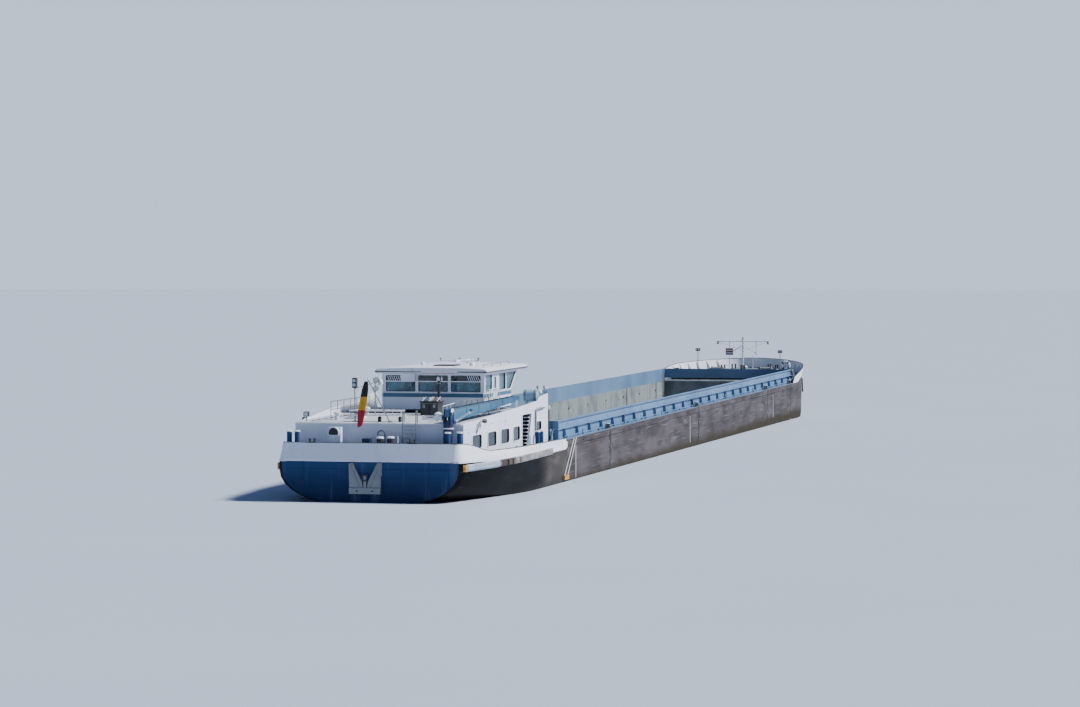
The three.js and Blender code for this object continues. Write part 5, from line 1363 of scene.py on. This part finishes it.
def make_roof_rails():
    """Hand rails beyond the CAD ones, and the guard by the stair's head."""
    piece = Piece()
    y = -0.325
    piece.tube([(-5.3, y, ROOF_FOOT), (-5.3, y, 0.612), (-5.086, y, 0.618)], 0.0022, "white")
    for x in (-5.23, -5.16):
        piece.post(x, y, ROOF_FOOT, 0.615, 0.002, "white")
    piece.tube([(-5.3, y, 0.575), (-5.086, y, 0.579)], 0.0018, "white")
    aft, fore, low, high = -4.405, -4.195, 0.535, 0.655
    tube_frame(piece, [(aft, y, high), (fore, y, 0.66), (fore, y, low), (aft, y, low)], 0.0026, "white", 4)
    tube_frame(piece, [(aft, y, high), (aft, -0.295, high), (aft, -0.295, low), (aft, y, low)],
               0.0024, "white", 1)
    piece.tube([(-4.4, -0.323, 0.538), (-4.2, -0.323, 0.656)], 0.0018, "white")
    piece.tube([(-4.4, -0.327, 0.652), (-4.2, -0.327, 0.538)], 0.0018, "white")
    for x in (aft, fore):
        piece.disc(0.007, 0, 0.003, (x, y, ROOF_SKIN), UP, "steel", 12)
    piece.make("roof_hand_rails", "galvanised")


def make_roof_gear():
    """Deck chairs, the life raft's bands, and the roof's skylights and vents."""
    # Two folded deck chairs on the locker, its lids' seams and handles
    piece = Piece()
    low, high = 0.6045, 0.623
    for y, back in ((-0.08, "timber"), (-0.036, "blue")):
        for dy in (-0.017, 0.017):
            piece.tube([(-4.6, y + dy, low), (-4.53, y + dy, high)], 0.0016, "white")
            piece.tube([(-4.595, y + dy, high), (-4.525, y + dy, low)], 0.0016, "white")
        for k in range(6):
            x, z = -4.596 + k * 0.011, k * 0.003
            piece.box((x, y - 0.016, 0.6055 + z), (x + 0.008, y + 0.016, 0.6072 + z), back)
    piece.tube([(-4.6148, -0.1, 0.593), (-4.6148, -0.014, 0.593)], 0.0012, "steel")
    for y in (-0.085, -0.03):
        piece.box((-4.6135, y - 0.006, 0.57), (-4.6102, y + 0.006, 0.586), "steel")
    piece.box((-4.6135, -0.0585, 0.534), (-4.6102, -0.0555, 0.596), "black")
    piece.make("deck_chairs", "white_paint")

    # Life raft: bands, end caps and cradle straps
    piece = Piece()
    raft = (-3.889, -0.42, 0.606)
    for finish, radius, width, places in (("raft", 0.0318, 0.004, (-0.0375, -0.018, 0.0, 0.018, 0.0335)),
                                          ("dark", 0.0325, 0.003, (-0.027, 0.024))):
        for d in places:
            piece.disc(radius, 0, width, Vector(raft) + Vector(PORT) * d, PORT, finish, 28)
    for d, lift in ((-0.0364, -0.003), (0.0364, 0.003)):
        piece.turned([(0, 0.024), (lift, 0.018), (lift * 1.5, 0.006)], Vector(raft) + Vector(PORT) * d,
                     PORT, "raft", 24)
    piece.make("liferaft_shell_bands", "liferaft_grey")

    # Skylights, low vents and cable runs on the open roof
    piece = Piece()
    for x, y in ((-4.96, 0.23), (-4.76, -0.12), (-4.96, -0.18)):
        piece.prism(rounded(x - 0.055, x + 0.055, y - 0.045, y + 0.045, 0.008), "z", ROOF_SKIN, 0.539,
                    "white")
        piece.prism(rounded(x - 0.045, x + 0.045, y - 0.035, y + 0.035, 0.006), "z", 0.539, 0.5405,
                    "dark_glass")
    vent = [(0, 0.011), (0.028, 0.01), (0.03, 0.018), (0.036, 0.019), (0.044, 0.008)]
    for x, y in ((-5.12, 0.28), (-5.12, -0.25), (-4.64, 0.27)):
        piece.turned(vent, (x, y, ROOF_SKIN), UP, "house")
    for y in (0.355, -0.348):
        piece.tube([(-5.3, y, 0.533), (-4.42, y, 0.533)], 0.0018, "steel")
    for k in range(9):
        x = k * 0.107
        piece.box((-5.29 + x, 0.3515, ROOF_FOOT), (-5.284 + x, 0.3585, 0.5356), "steel")
    piece.make("roof_skylights", "white_paint")


def make_winch(piece, x, y, z, base, drum, cheek, finish):
    """A small winch: base plate, drum and two cheeks. z: plate's foot and top, drum's axis, cheeks' top."""
    piece.prism(rounded(x - base[0], x + base[0], y - base[1], y + base[1], base[2]), "z", z[0], z[1],
                finish)
    end, step, wide, thin = drum
    barrel = [(-step, wide), (0.001 - step, thin), (step - 0.001, thin), (step, wide)]
    piece.turned([(-end, wide), *barrel, (end, wide)], (x, y, z[2]), PORT, finish)
    foot, head, apart = cheek
    for at in (y - apart, y + apart):
        piece.prism([(x - foot, z[1]), (x + foot, z[1]), (x + head, z[3]), (x - head, z[3])], "y",
                    at - 0.003, at + 0.003, finish)


def make_forward_house_gear():
    """Lamp posts at the roof's fore end, and the winch on the side deck below them."""
    # Lamp posts and dome where the side panel ends
    piece = Piece()
    x, top = -3.795, 0.64
    for y in (-0.435, -0.4715):
        piece.post(x, y, ROOF_FOOT, top, 0.0026, "steel", 8)
        shade = [(0, 0.0062), (0.003, 0.0072), (0.013, 0.0072), (0.015, 0.005)]
        piece.turned(shade, (x, y, top), UP, "dark", 14)
        piece.disc(0.0074, 0.0035, 0.012, (x, y, top), UP, "lamp", 14)
    x, y = -3.83, -0.455
    dome = [(0, 0.011), (0.01, 0.0125), (0.018, 0.009), (0.022, 0.002)]
    piece.turned(dome, (x, y, 0.615), UP, "white", 16)
    piece.post(x, y, ROOF_FOOT, 0.616, 0.004, "white", 8)
    piece.make("forward_lamp_posts", "dark_paint")

    # Winch, post and float on the side deck
    piece = Piece()
    x, y = -3.72, -0.467
    make_winch(piece, x, y, (0.3504, 0.356, 0.395, 0.408), (0.026, 0.03, 0.006),
               (0.024, 0.02, 0.0235, 0.0145), (0.022, 0.008, 0.028), "blue")
    piece.tube([(x - 0.01, y - 0.032, 0.395), (x - 0.01, y - 0.04, 0.395), (x - 0.01, y - 0.04, 0.421)],
               0.0022, "steel")
    x, y = -3.736, -0.482
    piece.post(x, y, 0.3504, 0.527, 0.004, "dark", 8)
    cap = [(0, 0.0052), (0.006, 0.0078), (0.016, 0.0078), (0.02, 0.004)]
    piece.turned(cap, (x, y, 0.523), UP, "white", 14)
    x, y = -3.712, -0.445
    ball = [(-0.012 * math.cos(t), max(0.0006, 0.012 * math.sin(t))) for t in turns(16)[:9]]
    piece.turned(ball, (x, y, 0.438), UP, "red", 18)
    piece.post(x, y, 0.408, 0.428, 0.002, "dark")
    piece.make("side_deck_winch", "coaming_blue", bevel=0.0006)


# Bow

CHAIN_PITCH = 0.0155
LINK_HALF, LINK_BEND, LINK_WIRE = 0.0048, 0.0045, 0.0017
BOW_MAST_X = 4.97


def chain(piece, start, end, finish):
    """A taut run of studless links, each turned a quarter from the one before."""
    start, end = Vector(start), Vector(end)
    along = (end - start).normalized()
    side = along.cross(Vector(UP)).normalized()
    up = side.cross(along)
    count = int((end - start).length / CHAIN_PITCH)
    for k in range(count):
        middle = start + along * (k + 0.5) * (end - start).length / count
        flat = side if k % 2 else up
        loop = []
        for t in turns(12):
            reach = math.copysign(LINK_HALF, math.cos(t)) + LINK_BEND * math.cos(t)
            loop.append(middle + along * reach + flat * (LINK_BEND * math.sin(t)))
        piece.tube(loop, LINK_WIRE, finish, closed=True)


def make_anchor_chains():
    """Taut chains from the bow winches to their pipes in the fore deck."""
    piece = Piece()
    for side in (1, -1):
        chain(piece, (4.922, side * 0.2, 0.453), (5.155, side * 0.235, 0.4165), "dark")
        pipe = (5.165, side * 0.237, 0.4118)
        piece.turned([(0, 0.02), (0.006, 0.02), (0.012, 0.0165), (0.012, 0.011)], pipe, UP, "grey")
        # A black disc inside the rim is painted shade for the pipe's dark opening
        piece.turned([(0.0121, 0.0108), (0.0124, 0.0106)], pipe, UP, "black", 16)
    piece.make("anchor_chains", "winch_grey")


def make_bow_mast_fittings():
    """Lamps, wires, bands and rungs of the folding bow mast."""
    mast = Piece()
    head = (BOW_MAST_X, 0, 0.672)
    mast.turned([(0, 0.0078), (0.018, 0.0078), (0.02, 0.005)], head, UP, "dark", 14)
    mast.disc(0.008, 0.003, 0.015, head, UP, "lamp", 14)
    for side in (1, -1):
        lamp = (BOW_MAST_X, side * 0.208, 0.636)
        mast.turned([(0, 0.0085), (0.004, 0.01), (0.02, 0.01), (0.023, 0.006)], lamp, UP, "dark", 14)
        mast.disc(0.0103, 0.006, 0.018, lamp, UP, "lamp", 14)
        mast.turned([(0, 0.005), (0.006, 0.006)], (BOW_MAST_X, side * 0.11, 0.55), UP, "grey", 10)
        mast.tube([(BOW_MAST_X, side * 0.206, 0.656), (BOW_MAST_X, side * 0.012, 0.59)], 0.001, "steel")
    for z in (0.5, 0.56, 0.62):
        mast.disc(0.0082, 0, 0.004, (BOW_MAST_X, 0, z), UP, "white", 12)
    for k in range(5):
        z = 0.49 + k * 0.028
        mast.tube([(4.962, -0.016, z), (4.962, 0.016, z)], 0.0012, "steel")
    mast.make("bow_mast_fittings", "white_paint", "bow_mast")


def make_bow_posts():
    """Lamp posts by the breakwater, the plain red and white board, and a life ring in its rack."""
    piece = Piece()
    x, low = 4.32, 0.3852
    for y, high in ((0.249, 0.623), (-0.415, 0.61)):
        piece.post(x, y, low, high - 0.02, 0.0034, "steel", 8)
        piece.tube([(x - 0.02, y, low), (x, y, low + 0.12)], 0.002, "steel")
        piece.block((x, y), (0.012, 0.018), high - 0.024, high - 0.002, "dark")
        for dy in (-0.0095, 0.0095):
            face = (x - 0.014, y + dy, high - 0.013)
            piece.turned([(0, 0.007), (0.002, 0.0062)], face, AHEAD, "lamp", 14)
    piece.post(4.7, 0.062, 0.399, 0.613, 0.0034, "white", 8)
    piece.box((4.6955, 0.03, 0.556), (4.6985, 0.094, 0.612), "white")
    for z in (0.559, 0.579, 0.599):
        piece.box((4.6945, 0.032, z), (4.6957, 0.092, z + 0.01), "red")
    ring_x, ring_y, ring_z, radius = 4.264, -0.47, 0.49, 0.03
    piece.post(4.27, ring_y, 0.387, 0.5, 0.0036, "steel", 8)
    piece.tube(hoop("x", ring_x, ring_y, ring_z, radius, 28), 0.0085, "white", 10, closed=True)
    for quarter in range(4):
        arc = [(ring_x, ring_y + radius * math.cos(t), ring_z + radius * math.sin(t))
               for t in (math.pi / 2 * quarter + 0.5 + 0.12 * k for k in range(4))]
        piece.tube(arc, 0.0091, "black", 10)
    piece.make("bow_lamp_posts", "galvanised")


def make_fore_deck():
    """Small winch, vents, lids, roller chocks, the breakwater's stiffeners, anchor rims and the stem."""
    piece = Piece()
    make_winch(piece, 4.42, -0.478, (0.3862, 0.392, 0.43, 0.444), (0.034, 0.026, 0.005),
               (0.026, 0.022, 0.027, 0.015), (0.026, 0.009, 0.03), "grey")
    piece.make("fore_deck_winch", "winch_grey", bevel=0.0006)

    piece = Piece()
    vent = [(0, 0.011), (0.03, 0.01), (0.032, 0.019), (0.038, 0.02), (0.047, 0.008)]
    for at in ((4.7, 0.33, 0.3978), (4.7, -0.33, 0.3978), (5.08, 0.0, 0.409), (4.45, 0.3, 0.3877),
               (4.45, -0.3, 0.3877)):
        piece.turned(vent, at, UP, "white", 18)
    for at in ((5.25, 0.1, 0.4155), (5.25, -0.1, 0.4155), (4.64, 0.2, 0.3962), (4.64, -0.2, 0.3962)):
        piece.turned([(0, 0.014), (0.002, 0.014), (0.003, 0.0115)], at, UP, "steel", 18)
    roller = [(0, 0.0065), (0.034, 0.006), (0.036, 0.0085), (0.04, 0.008)]
    for side in (1, -1):
        for x, y in ((5.3, 0.225), (5.38, 0.15)):
            for dx in (-0.014, 0.014):
                at = (x + dx, side * (y - dx * 0.8), table_read(FORE_DECK, x))
                piece.turned(roller, at, UP, "dark", 14)
    jack_staff = [(0, 0.003), (0.115, 0.0022), (0.118, 0.004), (0.122, 0.001)]
    piece.turned(jack_staff, (5.44, 0, 0.424), UP, "white", 10)
    piece.make("fore_deck_fittings", "white_paint")

    piece = Piece()
    piece.tube([(4.3335, -0.466, 0.45), (4.3335, 0.466, 0.45)], 0.0038, "dark", 8)
    for y in (-0.33, -0.11, 0.11, 0.33):
        piece.box((4.3286, y - 0.003, 0.388), (4.3301, y + 0.003, 0.444), "dark")
    piece.make("breakwater_trim", "dark_paint")

    piece = Piece()
    for side in (1, -1):
        piece.turned([(0, 0.021), (0.005, 0.02), (0.006, 0.013)], (4.74, side * 0.5195, 0.352),
                     (0.16, side, -0.08), "grey")
    piece.tube([(5.4948, 0, 0.51), (5.4965, 0, 0.43), (5.4965, 0, 0.372)], 0.0036, "dark", 8)
    piece.make("hawse_rims", "winch_grey")


def make_underwater():
    """Anodes and intake grilles below the waterline, the propeller's cap and the rudders' stiffeners."""
    for side, label in SIDES:
        piece = Piece()
        inner = side * (HALF_BEAM - 0.0003)
        for k in range(12):
            x = -3.4 + k * 0.66
            piece.box((x - 0.02, inner, 0.08), (x + 0.02, side * (HALF_BEAM + 0.004), 0.09), "steel")
        for k in range(7):
            x = 0.012 * k
            piece.box((-3.56 + x, inner, 0.062), (-3.556 + x, side * (HALF_BEAM + 0.002), 0.102), "dark")
        piece.make(f"underwater_fittings_{label}", "galvanised")
    piece = Piece()
    cap = [(-0.0275, 0.003), (-0.02, 0.0095), (0.0, 0.0112)]
    piece.turned(cap, (-4.953, 0, 0.092), AHEAD, "bronze", 24)
    piece.make("propeller_cap", "bronze", "propeller")
    half_foil = [(-5.296, 0.0035), (-5.2, 0.01), (-5.158, 0.006)]
    for y, body in ((0.045, "rudder_port"), (-0.045, "rudder_starboard")):
        piece = Piece()
        foil = [(x, y - half) for x, half in half_foil] + [(x, y + half) for x, half in reversed(half_foil)]
        for z in (0.03, 0.077, 0.124):
            piece.prism(foil, "z", z - 0.0018, z + 0.0018, "rudder")
        piece.make(f"{body}_stiffeners", "dark_paint", body)


def make_hatch_fittings():
    """A raised rim and a grip on each hatch lid."""
    for x, y, top, grip_x, grip_y, body in ((-5.405, 0.325, 0.3691, -5.428, 0.325, "hatch_engine"),
                                            (4.54, 0.0, 0.4171, 4.512, 0.0, "hatch_forepeak")):
        piece = Piece()
        half = 0.031 if body == "hatch_engine" else 0.036
        piece.ring(square(x, y, half, 0.006), square(x, y, half - 0.004, 0.004), "z", top, top + 0.0011,
                   "deck")
        low, high = top + 0.0001, top + 0.0049
        piece.tube([(grip_x, grip_y - 0.01, low), (grip_x, grip_y - 0.01, high),
                    (grip_x, grip_y + 0.01, high), (grip_x, grip_y + 0.01, low)], 0.0013, "steel")
        piece.make(f"{body}_fittings", "deck_paint", body)


RADAR_X, RADAR_Y = -4.49, -0.077


def make_radar_and_mast():
    """End caps and strips of the scanner, its motor and bands, and the roof mast's lamps."""
    piece = Piece()
    for low, high in ((-0.1748, -0.173), (0.019, 0.0208)):
        piece.prism(rounded(-4.4962, -4.4838, 0.7415, 0.7496, 0.003), "y", low, high, "dark")
    piece.prism(rounded(-0.171, 0.017, 0.7512, 0.7522, 0.0004), "x", -4.495, -4.485, "white")
    piece.box((-4.4974, -0.168, 0.743), (-4.4968, 0.014, 0.7452), "red")
    piece.make("radar_scanner_caps", "white_paint", "radar")
    piece = Piece()
    motor = [(0, 0.0165), (0.012, 0.017), (0.021, 0.0145), (0.0255, 0.008)]
    piece.turned(motor, (RADAR_X, RADAR_Y, 0.7062), UP, "white", 24)
    for z in (0.56, 0.69):
        piece.disc(0.0098, 0, 0.004, (RADAR_X, RADAR_Y, z), UP, "steel", 16)
    piece.tube([(-4.48, -0.07, 0.534), (-4.4805, -0.072, 0.62), (-4.48, -0.07, 0.706)], 0.0016, "black")
    piece.make("radar_mast_fittings", "white_paint")
    piece = Piece()
    for y in (-0.106, 0.0, 0.106):
        lamp = (-3.8, y, 0.79)
        piece.turned([(0, 0.0055), (0.01, 0.0062), (0.013, 0.004)], lamp, UP, "dark", 12)
        piece.turned([(0.002, 0.0064), (0.008, 0.0066)], lamp, UP, "lamp", 12)
    piece.disc(0.007, 0, 0.004, (-3.7, 0, 0.7844), AHEAD, "white", 12)
    piece.make("roof_mast_lamps", "white_paint", "roof_mast")


# Flag: bunting bunched along the staff's upper part and hanging in folds

FLAG_TOP_Z, FLAG_FOOT_Z = 0.737, 0.513
# Rows of the line: height, the middle's x and y. Rows of the reach: height, half breadth of the folds.
FLAG_LINE = [(0.512, -5.42, 0.068), (0.58, -5.416, 0.06), (0.64, -5.412, 0.05), (0.7, -5.408, 0.042),
             (0.738, -5.404, 0.0378)]
FLAG_REACH = [(0.512, 0.0105), (0.53, 0.0135), (0.58, 0.0185), (0.64, 0.018), (0.7, 0.015), (0.738, 0.009)]


def flag_point(s, t):
    """A point of the cloth: s across its width from the hoist, t down its drop."""
    z = FLAG_TOP_Z + (FLAG_FOOT_Z - FLAG_TOP_Z) * t
    reach = table_read(FLAG_REACH, z)
    folds = 2.6 - 0.5 * t
    phase = 2 * math.pi * folds * s + 0.5 * math.sin(5.0 * t)
    # The pleats zigzag across the line of view while they step along it
    depth = reach * (1.4 * s - 0.7) * 0.8 + 0.0022 * math.sin(2.0 * phase + 4.0 * t)
    ripple = 0.0012 * math.sin(17.0 * t + 6.0 * s)
    return (table_read(FLAG_LINE, z, 1) + depth * 0.8 + ripple,
            table_read(FLAG_LINE, z, 2) + reach * math.sin(phase), z - 0.004 * math.sin(phase) * t)


def make_flag_cloth():
    across, down = 72, 60
    mesh = bpy.data.meshes.new("flag_cloth")
    vertices = [flag_point(i / across, j / down) for j in range(down + 1) for i in range(across + 1)]
    corners = [j * (across + 1) + i for j in range(down) for i in range(across)]
    mesh.from_pydata(vertices, [], [(a, a + 1, a + across + 2, a + across + 1) for a in corners])
    mesh.materials.append(FINISH["flag"].material)
    mesh.shade_smooth()
    cloth = bpy.data.objects.new("flag_cloth", mesh)
    bpy.context.scene.collection.objects.link(cloth)
    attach(cloth, "hull")
    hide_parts("flag")
    piece = Piece()
    piece.turned([(0, 0.0046), (0.004, 0.0058), (0.008, 0.003)], (-5.4, 0.03, 0.746), UP, "white", 12)
    piece.box((-5.319, -0.064, 0.5362), (-5.301, -0.046, 0.5382), "steel")
    piece.make("flagstaff_truck", "galvanised")


for make in (
        make_cap_rails, make_bulwark_stays, make_house_windows, make_house_trim,
        make_wheelhouse_windows, make_wheelhouse_trim, make_helm, make_doors, make_crane, make_stern,
        make_aft_deck_gear, make_hull_sides, make_side_decks, make_hold_fittings, make_stair,
        make_wall_fittings, make_gangway, make_roof_lamps, make_roof_rails, make_roof_gear,
        make_forward_house_gear, make_anchor_chains, make_bow_mast_fittings, make_bow_posts,
        make_fore_deck, make_underwater, make_hatch_fittings, make_radar_and_mast, make_flag_cloth):
    make()

place_camera()
place_lights()
place_floor()
